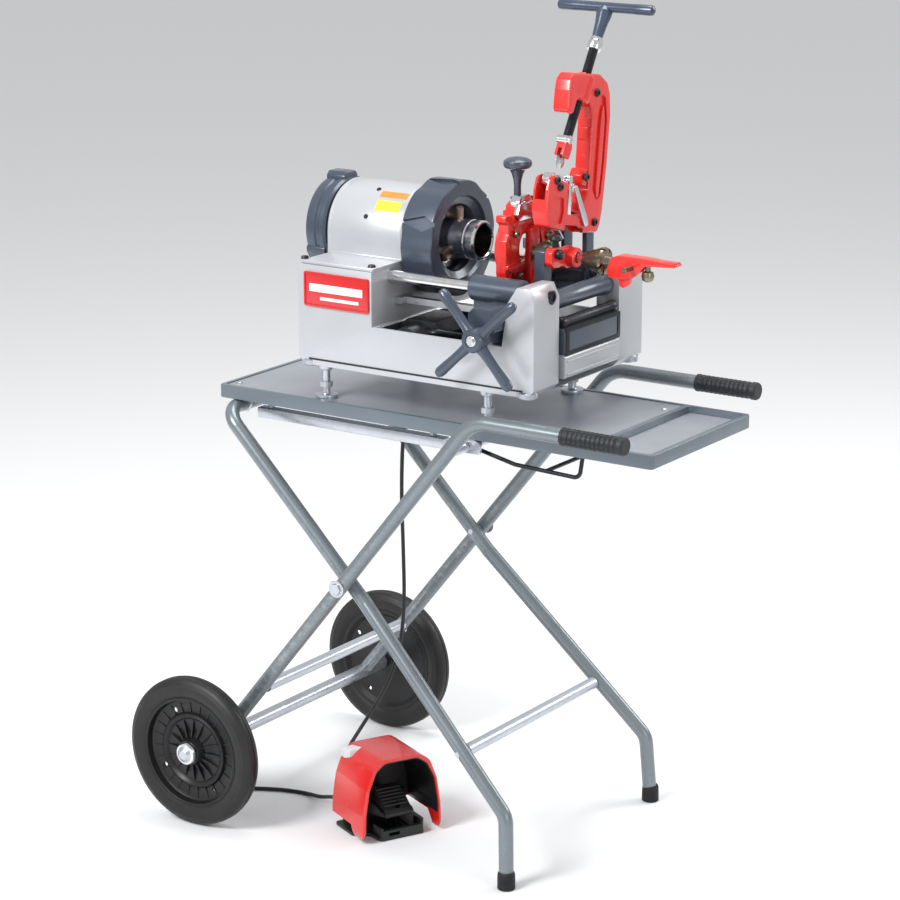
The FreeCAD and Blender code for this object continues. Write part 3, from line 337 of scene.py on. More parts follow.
def lathe(profile, at=(0, 0, 0), axis=(0, 0, 1), steps=64):
    """Round solid: profile points are (radius, distance along the axis)."""
    shape = bmesh.new()
    closed = tuple(profile[0]) == tuple(profile[-1])
    points = profile[:-1] if closed else profile
    rings = []
    for radius, height in points:
        if radius < 1e-6:
            rings.append([shape.verts.new((0, 0, height))])
            continue
        rings.append([shape.verts.new((radius * math.cos(2 * math.pi * i / steps),
                                       radius * math.sin(2 * math.pi * i / steps), height))
                      for i in range(steps)])
    pairs = list(zip(rings, rings[1:])) + ([(rings[-1], rings[0])] if closed else [])
    for lower, upper in pairs:
        for i in range(steps):
            j = (i + 1) % steps
            corners = [lower[i % len(lower)], lower[j % len(lower)], upper[j % len(upper)],
                       upper[i % len(upper)]]
            unique = list(dict.fromkeys(corners))
            if len(unique) > 2:
                shape.faces.new(unique)
    return moved(shape, Matrix.Translation(Vector(at)) @ turn_to(axis))


def softened(points, radius, steps=5, closed=False):
    """The same line with every corner rounded to the radius, or as far as its sides allow."""
    count = len(points)
    result = []
    for i, point in enumerate(points):
        if not closed and i in (0, count - 1):
            result.append(Vector(point))
            continue
        here = Vector(point)
        back, ahead = Vector(points[i - 1]) - here, Vector(points[(i + 1) % count]) - here
        half = back.angle(ahead) / 2
        if half > math.pi / 2 - 0.02 or radius <= 0:
            result.append(here)
            continue
        reach = min(radius / math.tan(half), 0.49 * back.length, 0.49 * ahead.length)
        first, last = here + back.normalized() * reach, here + ahead.normalized() * reach
        for k in range(steps + 1):
            u = k / steps
            result.append(first.lerp(here, u).lerp(here.lerp(last, u), u))
    return result


def hardened(shape, bevel, segments=2, angle=30):
    """Rounds every edge sharper than the angle."""
    if bevel > 0:
        bmesh.ops.recalc_face_normals(shape, faces=shape.faces)
        edges = [e for e in shape.edges if len(e.link_faces) == 2 and e.calc_face_angle(0) > math.radians(angle)]
        bmesh.ops.bevel(shape, geom=edges, offset=bevel, segments=segments, profile=0.6, affect="EDGES",
                        clamp_overlap=True)
    return shape


PLANES = {
    "XZ": Matrix(((1, 0, 0, 0), (0, 0, 1, 0), (0, 1, 0, 0), (0, 0, 0, 1))),
    "YZ": Matrix(((0, 0, 1, 0), (1, 0, 0, 0), (0, 1, 0, 0), (0, 0, 0, 1))),
    "XY": Matrix.Identity(4),
}


def slab(outline, low, high, plane="XZ", bevel=0.0, corner=0.0, segments=2):
    """Flat outline given thickness along the plane's normal, from low to high."""
    points = softened([(a, b, 0) for a, b in outline], corner, closed=True) if corner else \
        [Vector((a, b, 0)) for a, b in outline]
    shape = bmesh.new()
    bottom = [shape.verts.new((p.x, p.y, low)) for p in points]
    top = [shape.verts.new((p.x, p.y, high)) for p in points]
    shape.faces.new(bottom)
    shape.faces.new(list(reversed(top)))
    for i in range(len(points)):
        j = (i + 1) % len(points)
        shape.faces.new((bottom[i], top[i], top[j], bottom[j]))
    return moved(hardened(shape, bevel, segments), PLANES[plane])


def block(length, width, height, x, y, z, bevel=1.0, segments=2):
    """Box with its middle at x, y and its underside at z."""
    shape = bmesh.new()
    bmesh.ops.create_cube(shape, size=1.0)
    moved(shape, Matrix.Translation((x, y, z + height / 2)) @ Matrix.Diagonal((length, width, height, 1)))
    return hardened(shape, bevel, segments)


def rod(radius, length, at, axis=(0, 0, 1), chamfer=1.0, steps=32):
    """Round bar with softened ends."""
    c = min(chamfer, radius * 0.6)
    return lathe([(0, 0), (radius - c, 0), (radius, c), (radius, length - c), (radius - c, length),
                  (0, length)],
                 at, axis, steps)


def ring(outer, inner, length, at, axis=(0, 0, 1), chamfer=1.5, steps=64):
    """Round collar with a hole through it."""
    c = chamfer
    return lathe([(inner + c, 0), (outer - c, 0), (outer, c), (outer, length - c), (outer - c, length),
                  (inner + c, length), (inner, length - c), (inner, c), (inner + c, 0)], at, axis, steps)


def pipe(points, radius, corner=0.0, steps=20, detail=8):
    """Round bar along a line whose corners are bent to a radius."""
    line = softened(points, corner, detail) if corner else [Vector(p) for p in points]
    radii = radius if isinstance(radius, (list, tuple)) else [radius] * len(line)
    shape, rings = bmesh.new(), []
    tangent = (line[1] - line[0]).normalized()
    side = tangent.orthogonal().normalized()
    for i, point in enumerate(line):
        ahead = (line[min(i + 1, len(line) - 1)] - line[max(i - 1, 0)]).normalized()
        side = (side - ahead * side.dot(ahead)).normalized()
        other = ahead.cross(side)
        rings.append([shape.verts.new(point + radii[i] * (side * math.cos(a) + other * math.sin(a)))
                      for a in (2 * math.pi * k / steps for k in range(steps))])
    for lower, upper in zip(rings, rings[1:]):
        for k in range(steps):
            shape.faces.new((lower[k], lower[(k + 1) % steps], upper[(k + 1) % steps], upper[k]))
    shape.faces.new(list(reversed(rings[0])))
    shape.faces.new(rings[-1])
    return shape


def hexagon(across, height, at, axis=(0, 0, 1)):
    """Hexagon nut or bolt head with chamfered corners."""
    radius = across / math.sqrt(3)
    outline = [(radius * math.cos(math.radians(60 * i)),
                radius * math.sin(math.radians(60 * i))) for i in range(6)]
    shape = slab(outline, 0, height, "XY", bevel=0.6, segments=1)
    return moved(shape, Matrix.Translation(Vector(at)) @ turn_to(axis))


def merged(shapes):
    """One mesh that holds all the shapes."""
    whole = bmesh.new()
    for shape in shapes:
        holder = bpy.data.meshes.new("holder")
        bmesh.ops.recalc_face_normals(shape, faces=shape.faces)
        shape.to_mesh(holder)
        shape.free()
        whole.from_mesh(holder)
        bpy.data.meshes.remove(holder)
    return whole


def carved(base, *tools):
    """Base with the tools cut away."""
    objects = []
    for shape in (base, merged(list(tools))):
        mesh = bpy.data.meshes.new("carving")
        bmesh.ops.recalc_face_normals(shape, faces=shape.faces)
        shape.to_mesh(mesh)
        shape.free()
        objects.append(bpy.data.objects.new("carving", mesh))
        bpy.context.scene.collection.objects.link(objects[-1])
    cutter = objects[0].modifiers.new("carve", "BOOLEAN")
    cutter.operation, cutter.solver, cutter.object = "DIFFERENCE", "EXACT", objects[1]
    cutter.use_self = True
    evaluated = objects[0].evaluated_get(bpy.context.evaluated_depsgraph_get())
    result = bmesh.new()
    result.from_mesh(evaluated.to_mesh())
    evaluated.to_mesh_clear()
    for item in objects:
        mesh = item.data
        bpy.data.objects.remove(item)
        bpy.data.meshes.remove(mesh)
    return result


def piece(name, shapes, material, body, replaces=(), angle=32, matrix=None):
    """Makes the object from its shapes, shades it, and lets it ride on its body."""
    whole = merged(shapes)
    if matrix is not None:
        moved(whole, matrix)
    moved(whole, Matrix.Scale(MM, 4))
    for face in whole.faces:
        face.smooth = True
    for edge in whole.edges:
        if len(edge.link_faces) == 2 and edge.calc_face_angle(0) > math.radians(angle):
            edge.smooth = False
    mesh = bpy.data.meshes.new(name)
    whole.to_mesh(mesh)
    whole.free()
    mesh.materials.append(FINISHES[material])
    made = bpy.data.objects.new(name, mesh)
    bpy.context.scene.collection.objects.link(made)
    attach(made, body)
    if replaces:
        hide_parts(*replaces)
    return made


def paint_node(node, material):
    """A CAD node keeps its shape and takes one of the finishes."""
    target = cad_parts[node]
    target.data.materials.clear()
    target.data.materials.append(FINISHES[material])


# ---------------------------------------------------------------- cords
SWITCH = Matrix.Translation((-3.5, -175.5, 0)) @ Matrix.Rotation(math.radians(-26.4), 4, "Z")


def cord_curve(name, points, body="root"):
    """Smooth round cord through its route's control points, in metres."""
    curve = bpy.data.curves.new(name, "CURVE")
    curve.dimensions, curve.bevel_depth, curve.bevel_resolution = "3D", 0.004, 6
    curve.resolution_u = 8
    curve.use_fill_caps = True
    spline = curve.splines.new("NURBS")
    spline.points.add(len(points) - 1)
    for control, place in zip(spline.points, points):
        control.co = (*place, 1)
    spline.order_u = 3
    spline.use_endpoint_u = True
    cord = bpy.data.objects.new(name, curve)
    curve.materials.append(FINISHES["cord_rubber"])
    bpy.context.scene.collection.objects.link(cord)
    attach(cord, body)
    return cord


def switch_point(forward, across, up):
    """Point of the foot switch, turned into the row frame."""
    return tuple((SWITCH @ Vector((forward, across, up))) * MM)


def make_glands():
    """Ribbed tapered strain reliefs on the machine and at the back of the foot switch."""
    def relief(at, axis):
        profile = [(0, -3), (13, -3), (13, 5), (11, 7), (10, 9)]
        for k in range(6):
            step = 9 + k * 4
            profile += [(9.6 - 0.55 * k, step + 0.4), (9.6 - 0.55 * k, step + 2.4),
                        (8.0 - 0.5 * k, step + 2.8),
                        (8.0 - 0.5 * k, step + 3.8)]
        profile += [(5.4, 33.6), (5.0, 34), (0, 34)]
        return lathe(profile, at, axis, 28)
    backward = SWITCH.to_3x3() @ Vector((-1, 0, 0))
    places = {"mains": (SWITCH @ Vector((-138, -46, 34)), backward),
              "link": (SWITCH @ Vector((-138, 46, 34)), backward),
              "machine": (Vector((-206, 192, 962)), Y)}
    made = {name: piece(f"{name}_strain_relief", [relief(*place)], "black_plastic", "root")
            for name, place in places.items()}
    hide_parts("cord_glands")
    return made


def make_cords():
    """Both cords, with their strain reliefs and the plug."""
    reliefs = make_glands()
    hanging = [(-0.206, 0.226, 0.962), (-0.206, 0.262, 0.955), (-0.208, 0.282, 0.915), (-0.214, 0.262, 0.868),
               (-0.222, 0.214, 0.838), (-0.231, 0.186, 0.795), (-0.240, 0.178, 0.738), (-0.246, 0.177, 0.676),
               (-0.249, 0.178, 0.614), (-0.250, 0.179, 0.552), (-0.249, 0.181, 0.490), (-0.248, 0.182, 0.430),
               (-0.248, 0.184, 0.370), (-0.251, 0.186, 0.312), (-0.260, 0.188, 0.254), (-0.276, 0.190, 0.198),
               (-0.300, 0.188, 0.142), (-0.330, 0.186, 0.092), (-0.352, 0.170, 0.048), (-0.358, 0.136, 0.016),
               (-0.342, 0.100, 0.004), (-0.318, 0.064, 0.004), (-0.288, 0.032, 0.004), (-0.256, 0.002, 0.004),
               (-0.218, -0.022, 0.006), switch_point(-208, 46, 30), switch_point(-172, 46, 34)]
    machine_cord = cord_curve("machine_to_switch_cord", hanging)
    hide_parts("machine_cord")
    lead = [switch_point(-172, -46, 34), switch_point(-204, -46, 26), (-0.254, -0.106, 0.008),
            (-0.294, -0.096, 0.004), (-0.336, -0.104, 0.004), (-0.374, -0.120, 0.004),
            (-0.410, -0.140, 0.004)]
    centre = Vector((-0.4815, -0.125, 0))
    layers = [(0.047, 0.004), (0.039, 0.004), (0.039, 0.012), (0.047, 0.012), (0.047, 0.020), (0.039, 0.020)]
    per_turn, start = 16, math.radians(-38)
    for radius, height in layers:
        for k in range(per_turn):
            angle = start - 2 * math.pi * k / per_turn
            lead.append(tuple(centre + Vector((radius * math.cos(angle), radius * math.sin(angle), height))))
    lead += [(-0.452, -0.151, 0.026), (-0.460, -0.161, 0.034), (-0.475, -0.166, 0.037)]
    mains = cord_curve("mains_lead", lead)
    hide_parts("mains_cord", "mains_coil")
    plug = make_plug()


def make_plug():
    """Mains plug with its pins and grip ribs."""
    low, high = (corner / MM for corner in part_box("mains_plug"))
    right, middle_y = high.x, (low.y + high.y) / 2
    middle_z = (low.z + high.z) / 2
    body = slab([(right - 44, -16), (right - 12, -17), (right - 4, -9), (right, -6), (right, 6),
                 (right - 4, 9),
                 (right - 12, 17), (right - 44, 16)], -12, 12, "XY", bevel=3, corner=4, segments=3)
    moved(body, Matrix.Translation((0, middle_y, middle_z)))
    ribs = [block(1.6, 30, 25, right - 30 + 5 * k, middle_y, middle_z - 12.5, 0.6) for k in range(3)]
    pins = [rod(2.3, 19, (right - 44, middle_y + across, middle_z), -X, 1.2, 20) for across in (-9.5, 9.5)]
    piece("plug_pins", pins, "bright_steel", "root")
    return piece("plug_moulding", [body] + ribs, "black_plastic", "root", ["mains_plug"])



# ---------------------------------------------------------------- stand: wheels, feet, grips, tubes
def make_wheels():
    """Transport wheels with tread, rim and cap."""
    for side, sign in SIDES:
        centre = (-391.5, sign * 331, 150)
        out = Vector((0, sign, 0))
        tyre = [(112, -15), (118, -18), (128, -20), (133, -19.5), (135.5, -20), (138, -18.5), (144, -16.5),
                (148, -12), (149.6, -6), (149.6, -2), (148.4, -1.5), (148.4, 1.5), (149.6, 2), (149.6, 6),
                (148, 12),
                (144, 16.5), (138, 18.5), (135.5, 20), (133, 19.5), (128, 20), (118, 18), (112, 15),
                (112, -15)]
        piece(f"tyre_{side}_tread", [lathe(tyre, centre, out, 96)], "tyre_rubber", f"wheel_{side}",
              [f"tyre_{side}"])
        rim = [(10.3, -20), (24, -20), (25, -12), (36, -8), (62, -5), (68, -5), (96, -7), (104, -15),
               (111.6, -15.5),
               (111.6, 15.5), (108, 17), (105, 15.5), (102, 4), (96, 0), (78, -1), (75, 5), (71, 7), (67, 5),
               (63, 0), (40, -1), (30, 3), (27, 14), (24.5, 20), (10.3, 20), (10.3, -20)]
        dish = lathe(rim, centre, out, 96)
        frame_of = Matrix.Translation(centre) @ turn_to(out)
        cuts = [moved(rod(5.5, 60, (87 * math.cos(a), 87 * math.sin(a), -30)), frame_of)
                for a in (math.radians(90 * k + 32) for k in range(4))]
        ribs = []
        for k in range(16):
            fin = slab([(26, -2), (64, -2), (60, 2.6), (30, 8), (26, 8)], -1.3, 1.3, "XZ", 0.5)
            ribs.append(moved(fin, frame_of @ Matrix.Rotation(math.radians(22.5 * k), 4, "Z")))
        for k in range(24):
            fin = slab([(76, -3), (103, -3), (104, 9), (101, 3), (92, 0.8), (78, 1.6)], -1.1, 1.1, "XZ", 0.4)
            ribs.append(moved(fin, frame_of @ Matrix.Rotation(math.radians(15 * k + 4.5), 4, "Z")))
        piece(f"wheel_{side}_rim", [carved(dish, *cuts)] + ribs, "wheel_plastic", f"wheel_{side}",
              [f"wheel_{side}"])
        cap = [(0, 0), (19, 0), (21.6, 1.5), (22, 5), (20.5, 8), (14, 10.5), (8.5, 11), (7, 8.6), (0, 8)]
        flats = [moved(block(16, 60, 30, 28.2, 0, -8), Matrix.Rotation(math.radians(60 * k), 4, "Z"))
                 for k in range(6)]
        cover = moved(carved(lathe(cap, steps=60), *flats),
                      Matrix.Translation((-391.5, sign * 352, 150)) @ turn_to(out))
        piece(f"hub_cap_{side}", [cover], "cap_zinc", "handles")


def make_feet():
    """Caps on the lower ends of the legs."""
    for side, sign in SIDES:
        foot = [(0, 0), (14.5, 0), (16.8, 1.6), (17, 5), (16.2, 7), (17, 9), (16.2, 11), (17, 13), (16.6, 29),
                (15.4, 33), (14.3, 34), (14.3, 12), (0, 12)]
        piece(f"foot_cap_{side}", [lathe(foot, (293.5, sign * 266, 0))], "black_rubber", "legs",
              ["foot_caps"] if sign < 0 else [])


def make_grips():
    """Ribbed grips on the handles."""
    outline = [(14.2, 0), (16.8, 0), (17, 1.5), (17, 4.5), (15.4, 6)]
    for k in range(11):
        start = 8 + k * 9.6
        outline += [(15.2, start), (16.2, start + 1.2), (16.5, start + 4.2), (16.2, start + 7.0),
                    (15.0, start + 8.2)]
    outline += [(15.6, 116), (17, 118), (17, 127), (15, 130), (0, 130), (0, 124.5), (14.2, 124.5), (14.2, 0)]
    grips = [lathe(outline, (393.5, sign * 244, 880), X, 40) for _, sign in SIDES]
    flutes = []
    for grip, (_, sign) in zip(grips, SIDES):
        slots = [moved(block(98, 1.6, 3, 54, 0, 15.3, 0.3), Matrix.Translation((393.5, sign * 244, 880)) @
                       Matrix.Rotation(math.radians(30 * k), 4, "X")) for k in range(12)]
        flutes.append(carved(grip, *slots))
    piece("handle_grip_sleeves", flutes, "grip_rubber", "handles", ["handle_grips"])


def make_stand_details():
    """Pivot bolt heads and the brackets that hold the support rod."""
    bolts = []
    for _, sign in SIDES:
        washer = lathe([(0, 0), (16, 0), (17, 1), (16, 2.2), (0, 2.2)], (-96.5, sign * 258.6, 513),
                       (0, sign, 0), 40)
        nut = hexagon(20, 4, (-96.5, sign * 260.6, 513), (0, sign, 0))
        bolts += [washer, nut]
        for x, z in ((178.5, 237),):
            bolts.append(lathe([(0, 0), (8, 0), (8.4, 1), (6, 4), (0, 5)], (x, sign * 253, z), (0, sign, 0),
                               28))
    piece("pivot_bolt_heads", bolts, "frame_zinc", "legs")
    clips = []
    for sign in (-1, 1):
        clips.append(slab([(112, 798), (175, 798), (175, 818), (160, 826), (128, 826), (112, 818)],
                          sign * 176 - 3,
                          sign * 176 + 3, "XZ", 0.8, 6))
        clips.append(hexagon(17, 8, (143.5, sign * 180, 812), (0, sign, 0)))
    piece("rod_rest_brackets", clips, "frame_zinc", "root")


# ---------------------------------------------------------------- table
def make_table():
    """Table rim, plate and screws, with the hinge lugs of the legs."""
    low, high = (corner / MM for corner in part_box("table_top"))
    top, x0, x1, y1 = high.z, low.x, high.x, high.y
    step = 404
    rim = slab([(x0, -y1), (x1, -y1), (x1, y1), (x0, y1)], top - 26, top, "XY", bevel=2.2, corner=9,
               segments=3)
    inner = slab([(x0 + 9, -y1 + 9), (step, -y1 + 9), (step, y1 - 9), (x0 + 9, y1 - 9)], top - 2.4, top + 5,
                 "XY",
                 corner=6)
    tray = slab([(step + 12, -y1 + 10), (x1 - 10, -y1 + 10), (x1 - 10, y1 - 10), (step + 12, y1 - 10)],
                top - 13,
                top + 5, "XY", corner=9)
    under = slab([(x0 + 3, -y1 + 3), (x1 - 3, -y1 + 3), (x1 - 3, y1 - 3), (x0 + 3, y1 - 3)], top - 40,
                 top - 18, "XY")
    lugs = []
    for sign in (-1, 1):
        lugs.append(slab([(-408, 832), (-375, 832), (-375, 812), (-384, 796), (-399, 796), (-408, 812)],
                         sign * 150 - 4,
                         sign * 150 + 4, "XZ", 0.8, 3))
        lugs.append(hexagon(19, 7, (-391.5, sign * 154, 812), (0, sign, 0)))
    table = carved(rim, inner, tray, under)
    piece("table_rim", [table], "table_paint", "root", ["table_top"])
    piece("leg_hinge_lugs", lugs, "frame_zinc", "root")
    plate = slab([(x0 + 9.6, -y1 + 9.6), (step - 0.6, -y1 + 9.6), (step - 0.6, y1 - 9.6),
                  (x0 + 9.6, y1 - 9.6)],
                 top - 3.2, top - 1.8, "XY", bevel=0.5, corner=6, segments=1)
    pan = slab([(step + 12.5, -y1 + 10.5), (x1 - 10.5, -y1 + 10.5), (x1 - 10.5, y1 - 10.5),
                (step + 12.5, y1 - 10.5)],
               top - 14, top - 12.4, "XY", bevel=0.5, corner=8, segments=1)
    piece("table_plate_sheet", [plate, pan], "table_plate", "root")
    screws = [lathe([(0, 0), (6.5, 0), (6.2, 2), (3.6, 3.6), (0, 3.8)], (x, y, top - 2), Z, 28)
              for x, y in ((388, 128), (388, -150), (-405, 150), (-405, -150))]
    piece("table_screws", screws, "frame_zinc", "root")


# ---------------------------------------------------------------- machine bed and headstock
def soften_node(node, width, segments=2, angle=35):
    """Rounds a CAD node's sharp edges without changing its size."""
    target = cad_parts[node]
    for face in target.data.polygons:
        face.use_smooth = True
    merge = target.modifiers.new("join_corners", "WELD")
    merge.merge_threshold = 0.00001
    rounding = target.modifiers.new("rounded_edges", "BEVEL")
    rounding.width, rounding.segments = width * MM, segments
    rounding.limit_method, rounding.angle_limit = "ANGLE", math.radians(angle)
    rounding.use_clamp_overlap, rounding.harden_normals = True, False
    split = target.modifiers.new("sharp_edges", "EDGE_SPLIT")
    split.split_angle = math.radians(50)


def make_bed():
    """Fittings of the machine bed, with a sheet of painted shade inside the sump."""
    seams = []
    for sign in (-1, 1):
        seams.append(block(478, 1.6, 3.4, 36, sign * 192.2, 933, 0.4))
    piece("bed_seam_strips", seams, "black_plastic", "root")
    lugs = []
    for x, y in ((-206, -178), (-206, 178), (278, -178), (278, 178)):
        lugs.append(lathe([(0, 0), (17, 0), (18.5, 2), (18.5, 10), (16, 12), (0, 12)], (x, y, 920.5), Z, 40))
        lugs.append(hexagon(15, 9, (x, y, 932)))
    piece("bed_corner_pads", lugs, "frame_zinc", "root")
    # Painted shade: a dark slate sheet lines the sump so that its inside is dark, as its shadow would make it.
    painted_shade_sheet = carved(slab([(-52, 931.5), (244, 931.5), (244, 1009), (-52, 1009)], -184.4, 95, "XZ", 1, 4),
                   slab([(-50.6, 933), (242.6, 933), (242.6, 1040), (-50.6, 1040)], -183, 93.6, "XZ"))
    # Black pump shapes in the sump: partly the dark mechanism there, partly painted shade that darkens the sump.
    pump = [slab([(-46, 934), (50, 934), (50, 1000), (34, 1020), (-30, 1020), (-46, 1004)], -120, -20, "XZ",
                 6, 12, 3),
            rod(26, 70, (4, -178, 990), Y, 6, 40), rod(15, 30, (66, -150, 970), Y, 4, 32),
            ring(20, 12, 10, (4, -181, 990), Y, 2, 40), block(60, 30, 40, 120, -60, 934, 4),
            pipe([(20, -150, 1000), (60, -156, 1010), (90, -120, 1000), (110, -60, 960)], 7, 16)]
    piece("sump_painted_shade_sheet", [painted_shade_sheet], "tray_slate", "root")
    piece("sump_pump_and_painted_shade", pump, "black_steel", "root")
    guard = [lathe([(0, 0), (17, 0), (20, 3), (20, 20), (18, 24), (18, 186), (20, 190), (20, 207), (17, 210),
                    (0, 210)],
                   (268, -105, 1082), Y, 48)]
    piece("bed_cross_guard", guard, "dark_casting", "root")
    caps = []
    for sign in (-1, 1):
        centre = (298.4, sign * 130, 1100)
        caps.append(lathe([(0, -1), (13, -1), (13, 0.4), (11.5, 1.4), (7.6, 1.8), (7, -0.6), (0, -1)], centre,
                          X, 40))
    piece("rod_end_plugs", caps, "black_steel", "root")
    feet = []
    for x in (-196, 172):
        for y in (-148, 148):
            feet.append(lathe([(0, 0), (17, 0), (17.6, 1.5), (17, 5), (9, 7.5), (8, 9), (8, 20), (0, 20)],
                              (x, y, 851), Z, 36))
            feet.append(hexagon(24, 11, (x, y, 872)))
            feet.append(hexagon(22, 9, (x, y, 905)))
    piece("levelling_nuts", feet, "frame_zinc", "root")


def make_plaque():
    """Red plaque with blank white strips."""
    low, high = (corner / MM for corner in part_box("front_plaque"))
    plate = slab([(low.x, low.z), (high.x, low.z), (high.x, high.z), (low.x, high.z)], low.y + 1.2, high.y,
                 "XZ", 1.0, 5, 2)
    edge = carved(slab([(low.x, low.z), (high.x, low.z), (high.x, high.z), (low.x, high.z)], low.y, low.y + 3,
                       "XZ", 0.9, 5),
                  slab([(low.x + 4, low.z + 4), (high.x - 4, low.z + 4), (high.x - 4, high.z - 4),
                        (low.x + 4, high.z - 4)],
                       low.y - 4, low.y + 9, "XZ", 0, 3))
    piece("switch_plate", [plate, edge], "plaque_red", "root", ["front_plaque"])
    face = block(high.x - low.x - 26, 1.4, 15, (low.x + high.x) / 2, low.y + 0.9, low.z + 29, 0.6)
    lower = block(high.x - low.x - 60, 1.4, 6, (low.x + high.x) / 2 + 8, low.y + 0.9, low.z + 14, 0.5)
    piece("switch_plate_strips", [face, lower], "label_white", "root")


def make_headstock():
    """Blank strips, bands and screws of the headstock."""
    for name, tone, turn, start, length in (("rotation_strip", "strip_orange", (52, 62), -134, 62),
                                            ("oil_strip", "strip_yellow", (33, 47), -132, 56)):
        rows = [[(radius * -math.cos(math.radians(a)), 1158 + radius * math.sin(math.radians(a)))
                 for a in (turn[0] + (turn[1] - turn[0]) * k / 8 for k in range(9))] for radius in (91.6,
                         92.5)]
        piece(name, [slab(rows[0] + rows[1][::-1], start, start + length, "YZ")], tone, "root")
    bands = [ring(92.8, 90, 6, (-66, 0, 1158), X, 1.2, 96), ring(92.6, 90, 5, (-228, 0, 1158), X, 1.0, 96)]
    piece("barrel_bands", bands, "cast_grey", "root")
    screws = [rod(4.6, 3, (-146, -91 * math.cos(math.radians(a)), 1158 + 91 * math.sin(math.radians(a))),
                  (0, -math.cos(math.radians(a)), math.sin(math.radians(a))), 1, 20) for a in (24, 64)]
    for x in (-222, -68):
        for sign in (-1, 1):
            screws.append(lathe([(0, 0), (7.5, 0), (7.8, 1), (6.5, 5), (3.2, 5.4), (3, 2.6), (0, 2.4)],
                                (x, sign * 176, 1121.5), Z, 26))
    piece("barrel_screws", screws, "black_steel", "root")


def make_rings():
    """Front and rear chuck rings."""
    centre_z = 1158
    points = []
    for k in range(72):
        a = 2 * math.pi * k / 72
        dent = max(0.0, math.cos(6 * (a - math.radians(112)))) ** 2
        points.append(((110 - 4 * dent) * math.cos(a), centre_z + (110 - 4 * dent) * math.sin(a)))
    outer = slab(points, -51.5, 18.5, "YZ", bevel=5, segments=3)
    bore = lathe([(0, -60), (64.5, -60), (64.5, 6), (78, 12), (82, 20), (0, 20)], (0, 0, centre_z), X, 72)
    dents = []
    for k in range(6):
        wedge = slab([(-58, 0), (-4, 15), (26, 0), (-4, -15)], 103.5, 125, "XY")
        dents.append(moved(wedge,
                           Matrix.Translation((0, 0, centre_z)) @ Matrix.Rotation(math.radians(60 * k + 8), 4,
                                   "X")))
    shell = carved(outer, bore, *dents)
    piece("hammer_ring", [shell], "dark_casting", "front_ring", ["chuck_ring"])
    rear = lathe([(49, -286), (84, -286), (90, -283), (93.6, -276), (93.6, -262), (91, -259), (91, -254),
                  (93.6, -251), (93.6, -242), (90, -237), (49, -237), (49, -286)], (0, 0, centre_z), X, 80)
    lobe = slab([(-22, centre_z + 80), (22, centre_z + 80), (22, centre_z + 96), (14, centre_z + 103.6),
                 (-14, centre_z + 103.6),
                 (-22, centre_z + 96)], -283, -240, "YZ", bevel=3, corner=7)
    more = [moved(slab([(-18, 82), (18, 82), (16, 95), (8, 99), (-8, 99), (-16, 95)], -283, -240, "YZ", 3, 5),
                  Matrix.Translation((0, 0, centre_z)) @ Matrix.Rotation(math.radians(a), 4,
                          "X")) for a in (120, 240)]
    piece("rear_scroll_ring", [rear, lobe] + more, "dark_casting", "back_ring", ["rear_ring"])


def make_chuck():
    """Chuck nose and its hammer jaws."""
    centre = (0, 0, 1158)
    body = lathe([(31, -50), (60, -50), (60, -16), (54, -13), (46, -13), (42, -12), (39.5, 14), (38, 18),
                  (38, 40),
                  (36.4, 42), (36.4, 46), (38, 48), (38, 61), (35, 64.4), (32.6, 64.4), (31, 62), (31, -50)],
                 centre, X, 72)
    slots = [moved(block(27, 20.8, 80, 0.3, 0, 0, 0),
                   Matrix.Translation(centre) @ Matrix.Rotation(math.radians(120 * k), 4, "X"))
             for k in range(3)]
    piece("chuck_nose", [carved(body, *slots)], "bright_steel", "spindle", ["chuck_body"])
    for k in range(3):
        jaw = slab([(-12.8, 36), (-8, 32), (9, 32), (13.2, 36), (13.2, 56), (9, 60), (-8, 60), (-12.8, 56)],
                   -10, 10, "XZ", 1)
        teeth = [block(24, 1.2, 3, 0.2, y, 30.9, 0.2) for y in (-7.5, -4.5, -1.5, 1.5, 4.5, 7.5)]
        piece(f"hammer_jaw_{k + 1}", [jaw] + teeth, "jaw_steel", f"jaw_{k + 1}", [f"chuck_jaw_{k + 1}"],
              matrix=Matrix.Translation(centre) @ Matrix.Rotation(math.radians(120 * k), 4, "X"))


